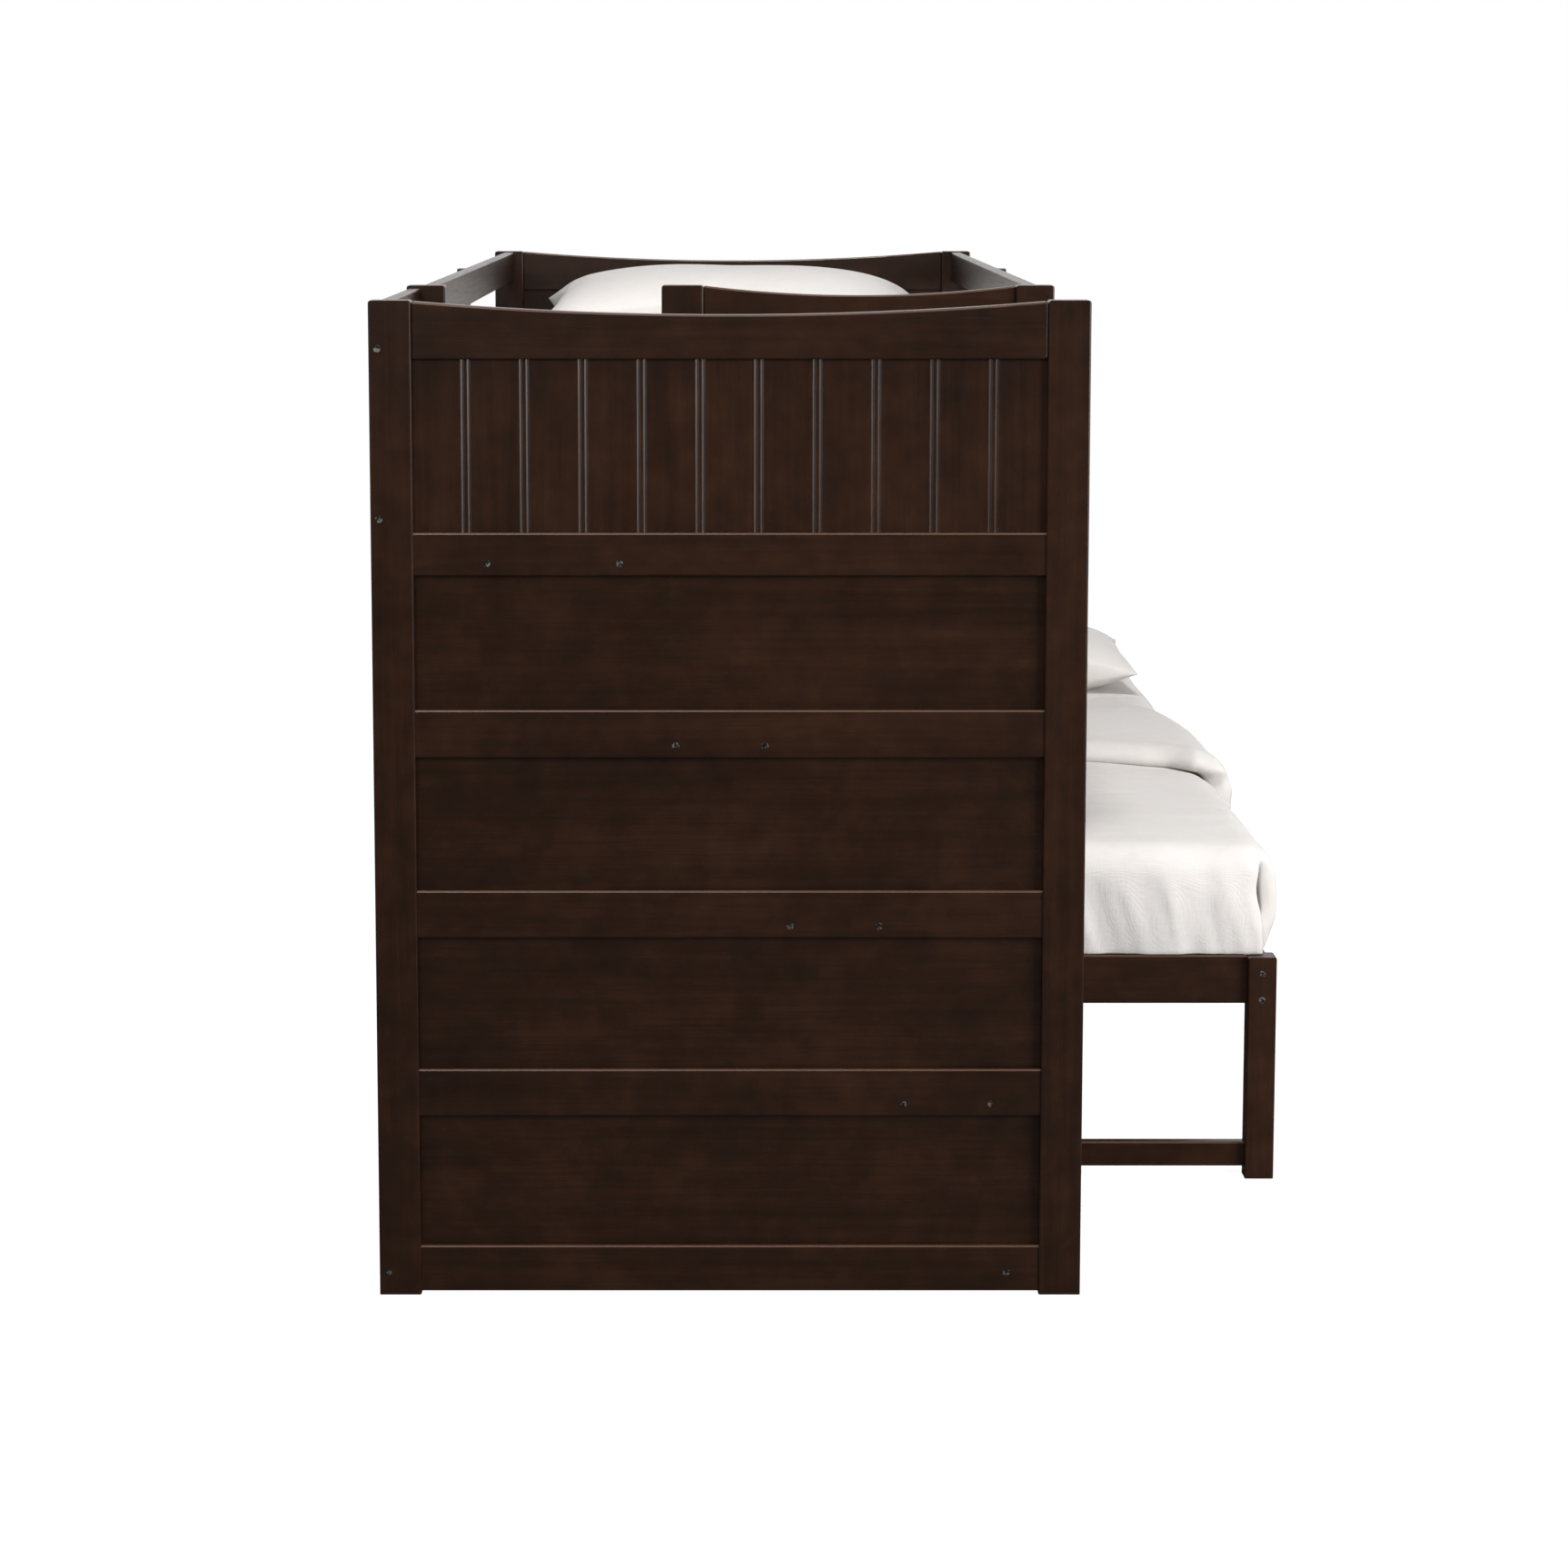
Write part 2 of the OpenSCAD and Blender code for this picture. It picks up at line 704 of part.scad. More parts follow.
// Slats, the two bearers under them and the blocks that the casters screw to
module trundle_slats() {
    bearer_z = trundle_deck_z - bearer_h;
    y0 = trundle_y + trundle_end_t;
    y1 = trundle_y + trundle_len - trundle_end_t;
    step = (y1 - y0 - 64 - trundle_slat_w) / (trundle_slat_count - 1);
    color(raw_wood) {
        for (x = wheel_x) for (y = [y0, y1 - caster_block])
            block([x - caster_block / 2, y, caster_top], [x + caster_block / 2, y + caster_block, bearer_z]);
        for (x = [trundle_in[0], trundle_in[1] - bearer_w])
            block([x, y0, bearer_z], [x + bearer_w, y1, trundle_deck_z]);
        for (i = [0:trundle_slat_count - 1])
            translate([trundle_in[0], y0 + 32 + i * step, trundle_deck_z])
                cube([trundle_in[1] - trundle_in[0], trundle_slat_w, upper_slat_t]);
    }
}

// A fixed caster: top plate, two cheeks and the axle, without its wheel
module trundle_casters() {
    cheek = 2.5;
    plate_t = 3;
    inner = wheel_w / 2 + 1;
    axle_len = 2 * (inner + cheek + 2);
    color(bright_steel) for (x = wheel_x) for (y = wheel_y) translate([x, y, 0]) {
        block([-24, -20, caster_top - plate_t], [24, 20, caster_top]);
        for (low = [-inner - cheek, inner])
            block([-12, low, wheel_r - 8], [12, low + cheek, caster_top - plate_t]);
        translate([0, axle_len / 2, wheel_r]) rotate([90, 0, 0]) cylinder(r = axle_r, h = axle_len);
    }
}

module wheel_pair(x) {
    color(rubber) for (y = wheel_y) translate([x, y, wheel_r]) rotate([90, 0, 0])
        difference() {
            cylinder(r = wheel_r, h = wheel_w, center = true, $fn = 64);
            cylinder(r = axle_r + axle_gap, h = wheel_w + 2, center = true);
        }
}

module trundle_front_wheels() wheel_pair(wheel_x[1]);
module trundle_back_wheels() wheel_pair(wheel_x[0]);

module trundle_mattress() {
    z = trundle_deck_z + upper_slat_t;
    color(ticking) box([trundle_x + board_t + 6, trundle_y + trundle_end_t + 5, z],
                         [x_trundle_front - board_t - 12, trundle_y + trundle_len - trundle_end_t - 5,
                          z + trundle_mattress_t]);
}

// --- Bedding --------------------------------------------------------------------------

lower_mattress_low = [rail_back_x + 18, foot_in + 16, lower_deck_z + lower_slat_t];
lower_mattress_high = [leg_rail_x - 22, head_in - 14, lower_mattress_low[2] + lower_mattress_t];
upper_mattress_low = [rail_back_x + 24, foot_in + 12, upper_deck_z + upper_slat_t];
upper_mattress_high = [rail_front_x - 24, head_in - 12, upper_mattress_low[2] + upper_mattress_t];
soft_gap = 0.3;
duvet_t = 34;             // one layer of quilt
fold_from = y_mid - 250;  // the quilt is turned back on itself from here
fold_to = y_mid + 485;    // to here, just short of the pillows
quilt_head = head_in - 40; // its single layer goes on under them

module lower_mattress() {
    color(ticking) box(lower_mattress_low, lower_mattress_high);
}

module upper_mattress() {
    color(ticking) box(upper_mattress_low, upper_mattress_high);
}

// The quilt of the lower bed: one layer, a turned-back stretch of two, a front
// side that hangs down to the side rail and a flap over the foot end
module lower_duvet() {
    low = lower_mattress_low;
    high = lower_mattress_high;
    side = x_front - 8;
    hem = end_rail_top + 1;
    color(linen) {
        box([low[0], low[1], high[2] + soft_gap], [side, quilt_head, high[2] + duvet_t]);
        box([low[0], fold_from, high[2] + duvet_t], [side, fold_to, high[2] + 2 * duvet_t]);
        box([high[0] + soft_gap, low[1], hem], [side, quilt_head, high[2] + soft_gap]);
        box([low[0], foot_in + soft_gap, hem], [side, low[1] - soft_gap, high[2] + duvet_t]);
        box([low[0], low[1] - soft_gap, high[2] + soft_gap], [side, low[1], high[2] + duvet_t]);
        box([high[0] + soft_gap, low[1] - soft_gap, hem], [side, low[1], high[2] + soft_gap]);
    }
}

module upper_duvet() {
    low = upper_mattress_low;
    high = upper_mattress_high;
    color(linen) box([low[0], low[1], high[2] + soft_gap], [high[0], y_mid + 420, high[2] + duvet_t]);
}

// A pillow from its middle outwards, thinner at the rim
module pillow(size) {
    hull() {
        translate([-size[0] / 2, -size[1] / 2, size[2] * 0.42]) cube([size[0], size[1], size[2] * 0.12]);
        translate([-size[0] * 0.3, -size[1] * 0.28, 0]) cube([size[0] * 0.6, size[1] * 0.56, size[2]]);
    }
}

module lower_pillows() {
    z = lower_mattress_high[2] + duvet_t + 1;
    color(linen) for (side = [-1, 1])
        translate([side * 355, head_in - 250, z]) pillow([680, 440, 150]);
}

module upper_pillow() {
    middle = (upper_mattress_low[0] + upper_mattress_high[0]) / 2;
    color(linen) translate([middle, head_in - 250, upper_mattress_high[2] + 1]) pillow([840, 450, 190]);
}

// --- Nodes ------------------------------------------------------------------------------

end_panel_back_stile();
end_panel_front_stile();
end_panel_top_rail();
end_panel_guard_rail();
end_panel_cross_rails();
end_panel_beadboard();
end_panel_flats();
end_panel_bolts();
tread(1);  // tread_1
tread(2);  // tread_2
tread(3);  // tread_3
tread(4);  // landing
stair_inner_side();
stair_back_panel();
stair_base_rails();
landing_guard_boards();
drawer_runners();
drawer_front(1);  // drawer_1_front
drawer_box(1);  // drawer_1_box
drawer_knob(1);  // drawer_1_knob
drawer_front(2);  // drawer_2_front
drawer_box(2);  // drawer_2_box
drawer_knob(2);  // drawer_2_knob
drawer_front(3);  // drawer_3_front
drawer_box(3);  // drawer_3_box
drawer_knob(3);  // drawer_3_knob
drawer_front(4);  // drawer_4_front
drawer_box(4);  // drawer_4_box
drawer_knob(4);  // drawer_4_knob
foot_back_post();
foot_front_post();
foot_gate_post();
foot_top_rail();
foot_end_rails();
head_back_post();
head_front_post();
head_top_rail();
head_end_rails();
bed_beadboards();
front_legs();
side_rails();
guard_rails();
guard_supports();
slat_ledgers();
upper_slats();
lower_slats();
frame_bolts();
trundle_front_board();
trundle_boards();
trundle_slats();
trundle_casters();
trundle_front_wheels();
trundle_back_wheels();
trundle_mattress();
lower_mattress();
lower_duvet();
lower_pillows();
upper_mattress();
upper_duvet();
upper_pillow();
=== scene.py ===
# %% [markdown]
# # A bunk bed with a storage staircase and a trundle
# The bed's frame comes as a fixed CAD model: every post, rail, slat, drawer and wheel is where it
# belongs, and nothing of it is moved here. What this script adds is what a CAD model doesn't hold:
# the finish of the timber and the metal, soft edges on the boards, and all of the bedding.
# It starts by loading that model.

# %% Load the frame
import math

import bmesh
import bpy
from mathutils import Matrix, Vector, noise


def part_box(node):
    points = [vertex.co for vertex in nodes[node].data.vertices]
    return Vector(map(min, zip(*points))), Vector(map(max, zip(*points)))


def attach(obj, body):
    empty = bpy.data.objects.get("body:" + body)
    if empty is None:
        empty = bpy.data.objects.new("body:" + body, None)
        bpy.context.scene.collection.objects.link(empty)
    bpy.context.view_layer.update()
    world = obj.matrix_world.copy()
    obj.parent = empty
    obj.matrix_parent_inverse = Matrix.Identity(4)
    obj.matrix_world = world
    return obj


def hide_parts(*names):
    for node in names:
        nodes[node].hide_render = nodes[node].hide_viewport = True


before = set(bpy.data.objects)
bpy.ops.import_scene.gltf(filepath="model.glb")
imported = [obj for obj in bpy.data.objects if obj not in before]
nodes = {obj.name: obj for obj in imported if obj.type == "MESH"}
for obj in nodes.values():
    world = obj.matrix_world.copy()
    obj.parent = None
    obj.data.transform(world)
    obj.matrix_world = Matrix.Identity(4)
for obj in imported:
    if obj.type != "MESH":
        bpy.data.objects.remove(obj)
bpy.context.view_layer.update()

scene = bpy.context.scene

# %% [markdown]
# ## Camera
# A bed is best told apart from its foot end, seen square on from a little above the top rail and
# from well back, so that the end panel stays flat and the bunks behind it shrink only a little.
# A long lens does that. Part of the downward look is a lens shift, as on an architect's camera,
# because a shift keeps the posts upright where a tilt makes them lean together.

# %% Set up the camera
CAMERA_PLACE = (-0.184, -6.095, 1.743)
CAMERA_TILT = 6.31             # degrees below the horizon
SENSOR = 36                    # mm wide
LENS = 73.97                   # mm
LENS_SHIFT = (0.0295, -0.172)  # in widths of the sensor
CLIP_END = 60

camera = bpy.data.objects.new("camera", bpy.data.cameras.new("camera"))
scene.collection.objects.link(camera)
scene.camera = camera
camera.location = CAMERA_PLACE
camera.rotation_euler = (math.radians(90 - CAMERA_TILT), 0, 0)
camera.data.sensor_width = SENSOR
camera.data.lens = LENS
camera.data.shift_x, camera.data.shift_y = LENS_SHIFT
camera.data.clip_end = CLIP_END

# %% [markdown]
# ## Light
# The studio is plain: a pale floor and a white surround. Dark lacquer shows what it mirrors, so a
# room that is white all round would turn it grey. The surround is therefore dim for all but the
# camera's own view, and dimmest in mirrors. Two large soft lamps by the camera, high on the left
# and low on the right, light the faces. A smaller one at the side and one above stand where only
# slanting faces mirror them, and draw the fine light lines along grooves and eased edges.

# %% Light the studio
SURROUND_SEEN = 1.0
SURROUND_LIGHT = 0.3
SURROUND_MIRRORED = 0.08
LAMPS = {  # place, size in metres, watts
    "lamp_left": ((-1.9, -5.7, 4.0), 2.4, 132),
    "lamp_right": ((4.4, -4.4, 2.2), 2.8, 315),
    "lamp_side": ((-4.8, -3.4, 1.5), 1.3, 26),
    "lamp_above": ((0.0, -1.8, 4.6), 0.7, 122),
    "lamp_behind": ((0.0, 6.5, 3.0), 5.0, 90),
}

world = bpy.data.worlds.new("studio")
scene.world = world
world.use_nodes = True
background = world.node_tree.nodes["Background"]
background.inputs["Color"].default_value = (1, 1, 1, 1)
ray = world.node_tree.nodes.new("ShaderNodeLightPath")
strength = SURROUND_LIGHT
for kind, value in (("Is Glossy Ray", SURROUND_MIRRORED), ("Is Camera Ray", SURROUND_SEEN)):
    choose = world.node_tree.nodes.new("ShaderNodeMapRange")
    world.node_tree.links.new(ray.outputs[kind], choose.inputs["Value"])
    if isinstance(strength, float):
        choose.inputs["To Min"].default_value = strength
    else:
        world.node_tree.links.new(strength, choose.inputs["To Min"])
    choose.inputs["To Max"].default_value = value
    strength = choose.outputs["Result"]
world.node_tree.links.new(strength, background.inputs["Strength"])

LAMPS_AIM = Vector((0, 0, 0.7))
for name, (place, size, watts) in LAMPS.items():
    lamp = bpy.data.objects.new(name, bpy.data.lights.new(name, "AREA"))
    lamp.data.size = size
    lamp.data.energy = watts
    lamp.location = place
    lamp.rotation_euler = (LAMPS_AIM - Vector(place)).to_track_quat("-Z", "Y").to_euler()
    scene.collection.objects.link(lamp)
scene.view_settings.view_transform = "Standard"
print(f"{len(LAMPS)} lamps")

# %% [markdown]
# ## Small helpers for modelling
# Blender's operators act on whatever is selected, and loading the frame leaves every node of it
# selected. So each piece begins by deselecting all and ends by becoming the only active object.
# Faces and vertices are picked in code, by where they are.

# %% Helpers: select, edit, apply
def alone(obj):
    """obj becomes the only selected object, and the active one."""
    if bpy.context.mode != "OBJECT":
        bpy.ops.object.mode_set(mode="OBJECT")
    bpy.ops.object.select_all(action="DESELECT")
    obj.select_set(True)
    bpy.context.view_layer.objects.active = obj


def named(name):
    """Names the object that an operator has just made, and puts its place into its mesh."""
    obj = bpy.context.object
    obj.name = obj.data.name = name
    bpy.ops.object.transform_apply(location=True, rotation=True, scale=True)
    return obj


def block(name, low, high):
    """A box between two corners, as a start for a piece."""
    bpy.ops.object.select_all(action="DESELECT")
    low, high = Vector(low), Vector(high)
    bpy.ops.mesh.primitive_cube_add(size=1, location=(low + high) / 2, scale=high - low)
    return named(name)


def modify(obj, kind, **settings):
    """Adds a modifier and applies it."""
    alone(obj)
    modifier = obj.modifiers.new(kind.lower(), kind)
    for key, value in settings.items():
        setattr(modifier, key, value)
    bpy.ops.object.modifier_apply(modifier=modifier.name)


def pick(obj, part, test):
    """In edit mode, selects the vertices, edges or faces (part) that pass the test."""
    alone(obj)
    bpy.ops.object.mode_set(mode="EDIT")
    bpy.ops.mesh.select_mode(type={"verts": "VERT", "edges": "EDGE", "faces": "FACE"}[part])
    mesh = bmesh.from_edit_mesh(obj.data)
    for element in mesh.verts[:] + mesh.edges[:] + mesh.faces[:]:
        element.select_set(False)
    for element in [element for element in getattr(mesh, part) if test(element)]:
        element.select_set(True)
    mesh.select_flush_mode()
    bmesh.update_edit_mesh(obj.data)


def done(obj):
    """Leaves edit mode and shades the whole piece smooth."""
    alone(obj)
    bpy.ops.object.shade_smooth()
    return obj


print("helpers ready")

# %% [markdown]
# ## Shader maths
# A finish is arithmetic on patterns: this much grain, plus that much pore, times a tone. Written
# with nodes alone it is hard to read, so a small class wraps a socket and lets ordinary operators
# add the Math nodes. All other nodes come from one method, which takes the node's type, its
# settings and what goes into its sockets.

# %% Signal: values that are written as expressions
class Signal:
    """One value in a material, which can be added, multiplied and so on."""

    def __init__(self, shader, socket):
        self.shader, self.socket = shader, socket

    def maths(self, operation, *others):
        """A Math node with this value first."""
        inputs = dict(enumerate((self, *others)))
        return self.shader.node("Math", {"operation": operation}, inputs)

    def __add__(self, other):
        return self.maths("ADD", other)

    def __sub__(self, other):
        return self.maths("SUBTRACT", other)

    def __mul__(self, other):
        return self.maths("MULTIPLY", other)

    __radd__ = __add__


print("signal class ready")

# %% Shader: the nodes of one material
BLACK, WHITE = (0, 0, 0), (1, 1, 1)


class Shader:
    """A material with a Principled shader, whose constants are given by name."""

    def __init__(self, name, **constants):
        self.material = bpy.data.materials.new(name)
        self.material.use_nodes = True
        self.tree = self.material.node_tree
        self.surface = self.tree.nodes["Principled BSDF"]
        for key, value in constants.items():
            self.surface.inputs[key.replace("_", " ")].default_value = value

    def node(self, kind, settings=None, inputs=None, out=0):
        """Adds a node, sets it, fills its sockets and gives back one of its outputs."""
        made = self.tree.nodes.new("ShaderNode" + kind)
        for key, value in (settings or {}).items():
            if key == "stops":
                self.set_stops(made.color_ramp.elements, value)
            else:
                setattr(made, key, value)
        for key, value in (inputs or {}).items():
            self.plug(made.inputs[key], value)
        return Signal(self, made.outputs[out])

    def set_stops(self, elements, stops):
        while len(elements) < len(stops):
            elements.new(1)
        for element, (place, colour) in zip(elements, stops):
            element.position = place
            element.color = (*colour, 1)

    def plug(self, socket, value):
        if isinstance(value, Signal):
            self.tree.links.new(value.socket, socket)
        else:
            socket.default_value = value

    def place(self, scale=(1, 1, 1)):
        """Object coordinates, stretched."""
        start = self.node("TexCoord", out="Object")
        return self.node("Mapping", {}, {"Vector": start, "Scale": scale})

    def noise(self, place, scale, detail=4, rough=0.5, distort=0):
        return self.node("TexNoise", {}, {"Vector": place, "Scale": scale, "Detail": detail,
                                          "Roughness": rough, "Distortion": distort})

    def ramp(self, value, *stops):
        return self.node("ValToRGB", {"stops": stops}, {"Fac": value})

    def blend(self, share, first, second):
        """One colour over another."""
        both = {"Factor": share, "A": first, "B": second}
        mix = self.tree.nodes.new("ShaderNodeMix")
        mix.data_type = "RGBA"
        for socket in mix.inputs:
            if socket.enabled and socket.name in both:
                self.plug(socket, both[socket.name])
        return Signal(self, next(s for s in mix.outputs if s.enabled))

    def finish(self, bump=None, depth=0.001, **varying):
        """Plugs in what varies, and a bump of some depth in metres."""
        for key, value in varying.items():
            self.plug(self.surface.inputs[key.replace("_", " ")], value)
        if bump is not None:
            relief = self.node("Bump", {}, {"Height": bump, "Distance": depth})
            self.plug(self.surface.inputs["Normal"], relief)
        return self.material


print("shader class ready")

# %% [markdown]
# ## The stained timber
# The frame is solid wood under a dark, reddish-brown stain and a satin lacquer. Stain sinks into
# the open pores and sits lighter on the hard grain between them, so the streaks follow the
# board's length. One pattern serves all boards if it is stretched along the board, so there are
# three versions of the finish: for boards along X, along Y, and for posts, which stand along Z.
# The low legs and rails get a lighter copy of the stain, as painted light where more lamp light falls
# on them.
# Along the upper edges a painted highlight shows: a lighter brown where the surface faces half up and
# half outwards.

# %% Finish: stained wood along an axis
STAIN_DEEP = (0.0095, 0.0033, 0.0011)
STAIN_MID = (0.0165, 0.0058, 0.0021)
STAIN_LIGHT = (0.0265, 0.0094, 0.0034)
# the colour of the painted highlight along the upper edges
STAIN_EDGE_HIGHLIGHT = (0.085, 0.046, 0.030)
LIT_LIFT = 1.35               # how much lighter the low boards are drawn, as painted light
HIGHLIGHT_FROM, HIGHLIGHT_TO = 0.24, 0.33    # how far a surface leans upwards and outwards


def stained_wood(axis, name="stained_wood", lift=1.0):
    """The frame's finish, with its grain along axis 0, 1 or 2; lift makes it lighter, as painted light
    where more lamp light falls.
    """
    shader = Shader(f"{name}_{'xyz'[axis]}", Specular_IOR_Level=0.29)
    deep, mid, light = ([c * lift for c in stain] for stain in (STAIN_DEEP, STAIN_MID, STAIN_LIGHT))
    slim = [1.0, 1.0, 1.0]
    slim[axis] = 0.07
    along = shader.place(slim)
    slim[axis] = 0.022
    fine_along = shader.place(slim)
    figure = shader.noise(along, 13, 5, 0.55, 1.1)
    streak = shader.noise(fine_along, 95, 3, 0.6)
    pore = shader.noise(fine_along, 380, 2, 0.5)
    tone = shader.noise(shader.place(), 5, 2, 0.5)
    blotch = shader.noise(shader.place(), 24, 4, 0.6)
    grain = figure * 0.3 + streak * 0.16 + tone * 0.26 + blotch * 0.34
    colour = shader.ramp(grain, (0.4, deep), (0.53, mid), (0.66, light))
    pores = shader.ramp(pore, (0.36, WHITE), (0.47, BLACK))
    colour = shader.blend(pores * 0.4, colour, (*deep, 1))
    # painted highlight: faces that lean half up and half outwards, as on the eased upper edges, are
    # drawn lighter brown
    split = shader.node("SeparateXYZ", {}, {"Vector": shader.node("NewGeometry", out="Normal")})
    x, y, z = (Signal(shader, socket) for socket in split.socket.node.outputs)
    outwards = x.maths("ABSOLUTE") + y.maths("ABSOLUTE")
    painted_highlight = shader.ramp(z * outwards, (HIGHLIGHT_FROM, BLACK), (HIGHLIGHT_TO, WHITE))
    colour = shader.blend(painted_highlight * 0.8, colour, (*STAIN_EDGE_HIGHLIGHT, 1))
    roughness = 0.29 + streak * 0.06 + pores * 0.05
    return shader.finish(streak * 0.5 - pores * 0.4, 0.00007, Base_Color=colour, Roughness=roughness)


wood_x, wood_y, wood_z = (stained_wood(axis) for axis in range(3))
# the lighter copies for the low legs and rails are painted light: drawn lighter where more lamp light
# falls
lit_copy_x, lit_copy_z = (stained_wood(axis, "lit_stained_wood", LIT_LIFT) for axis in (0, 2))
print("stained wood along X, Y and Z, and pale along X and Z")

# %% [markdown]
# ## Plain timber
# Slats, ledgers, runners and drawer boxes are left unstained: sanded pine with a clear seal. The
# same recipe works with other colours, paler and with a wider, softer figure.

# %% Finish: plain pine along an axis
PINE_DARK = (0.36, 0.21, 0.1)
PINE_PALE = (0.62, 0.44, 0.26)


def plain_pine(axis):
    """Unstained, sealed pine, with its grain along axis 0 or 1."""
    shader = Shader(f"plain_pine_{'xyz'[axis]}", Specular_IOR_Level=0.35)
    slim = [1.0, 1.0, 1.0]
    slim[axis] = 0.05
    along = shader.place(slim)
    rings = shader.noise(along, 22, 4, 0.5, 1.4)
    fibre = shader.noise(along, 420, 2, 0.5)
    knots = shader.noise(shader.place(), 6.5, 1, 0.4)
    grain = rings * 0.75 + fibre * 0.15 + knots * 0.12
    colour = shader.ramp(grain, (0.38, PINE_DARK), (0.62, PINE_PALE))
    return shader.finish(fibre, 0.0004, Base_Color=colour, Roughness=0.52 + fibre * 0.15)


pine_x, pine_y = plain_pine(0), plain_pine(1)
print("plain pine along X and Y")

# %% [markdown]
# ## Metal and rubber
# The bolts are blackened steel, the casters bright zinc, the drawer knobs a brushed bronze-grey
# metal and the wheels dark rubber. Metal is told by how it mirrors: metallic is full and the
# roughness carries the fine marks. Rubber mirrors almost nothing and is slightly dusty.

# %% Finishes: metals and rubber
def metal(name, colour, roughness, brush, worn_glint=None):
    """A metal whose roughness wanders and whose surface is brushed along one direction.
    The worn colour is bare metal in random spots, partly where a dark finish is rubbed off and partly
    painted glints."""
    shader = Shader(name, Metallic=1.0)
    marks = shader.noise(shader.place(brush), 260, 3, 0.6)
    dull = shader.noise(shader.place(), 40, 3, 0.55)
    tone = shader.blend(dull, (*[c * 0.8 for c in colour], 1), (*colour, 1))
    if worn_glint:
        # random spots of bare metal: partly wear, partly painted glints on the bolt heads
        worn_glint_noise = shader.noise(shader.place(), 210, 2, 0.5)
        worn_glint_spots = shader.ramp(worn_glint_noise, (0.46, BLACK), (0.58, WHITE))
        tone = shader.blend(worn_glint_spots, tone, (*worn_glint, 1))
    return shader.finish(marks, 0.0002, Base_Color=tone, Roughness=roughness + marks * 0.18)


def rubber(name, colour):
    """A dull rubber with some dust on it."""
    shader = Shader(name, Specular_IOR_Level=0.3)
    dust = shader.noise(shader.place(), 55, 4, 0.6)
    grit = shader.noise(shader.place(), 900, 2, 0.5)
    tone = shader.blend(dust, (*colour, 1), (*[c * 2.4 for c in colour], 1))
    return shader.finish(grit, 0.0003, Base_Color=tone, Roughness=0.62 + dust * 0.2)


# black steel: its spots of bare metal are partly wear and partly painted glints on the bolt heads
black_steel = metal("black_steel", (0.045, 0.042, 0.04), 0.34, (1, 1, 1), worn_glint=(0.34, 0.33, 0.31))
zinc = metal("zinc", (0.62, 0.63, 0.65), 0.26, (0.05, 1, 1))
bronze = metal("bronze", (0.33, 0.27, 0.2), 0.28, (1, 1, 0.06))
wheel_rubber = rubber("wheel_rubber", (0.022, 0.022, 0.024))
print("black steel, zinc, bronze, rubber")

# %% [markdown]
# ## Cloth
# The bedding is plain-woven cotton, warm white and a little creased. Its weave is two sets of
# threads that cross, about one to the millimetre at the size of a bed, so it is drawn with two
# wave patterns at right angles that make the bump. Threads are never quite even: noise, stretched
# along each set, makes the slubs. The mattress cover is the same cloth, whiter and tighter.

# %% Finish: woven cloth
def woven_cloth(name, shade, bright, thread_mm, sheen):
    """Plain weave; shade and bright are the two ends of its uneven colour."""
    shader = Shader(name, Sheen_Weight=sheen, Sheen_Roughness=0.5, Specular_IOR_Level=0.18)
    place = shader.place()
    # a wave repeats every two pi / (20 * scale) metres
    scale = 2 * math.pi / (20 * thread_mm / 1000)
    thread = {"Vector": place, "Scale": scale, "Distortion": 0.6, "Detail": 1.0, "Detail Scale": 0.4}
    warp, weft, rise = [
        shader.node("TexWave", {"wave_type": "BANDS", "wave_profile": "SIN", "bands_direction": way},
                    thread, out=1) for way in "XYZ"]
    slub = shader.noise(shader.place((0.12, 1, 1)), 240, 3, 0.6)
    slub_across = shader.noise(shader.place((1, 0.12, 0.12)), 240, 3, 0.6)
    crease = shader.noise(place, 34, 5, 0.62, 0.3)
    wash = shader.noise(place, 3.1, 3, 0.5)
    share = wash * 0.45 + crease * 0.3 + slub * 0.25
    colour = shader.ramp(share, (0.3, shade), (0.7, bright))
    relief = (warp + weft + rise) * 0.13 + (slub + slub_across) * 0.32 + crease * 0.4
    return shader.finish(relief, 0.0011, Base_Color=colour, Roughness=0.78 + slub * 0.12)


linen = woven_cloth("linen", (0.65, 0.62, 0.597), (0.725, 0.697, 0.673), 1.1, 0.1)
ticking = woven_cloth("ticking", (0.69, 0.665, 0.638), (0.775, 0.75, 0.725), 0.8, 0.06)
piping_cloth = woven_cloth("piping_cloth", (0.55, 0.525, 0.5), (0.66, 0.635, 0.61), 0.7, 0.05)
print("linen, ticking and piping cloth")

# %% [markdown]
# ## Finish for every node of the frame
# Each board gets the wood whose grain runs along it. Where a node has boards both ways, as the
# trundle's back and end boards, the longer ones decide.

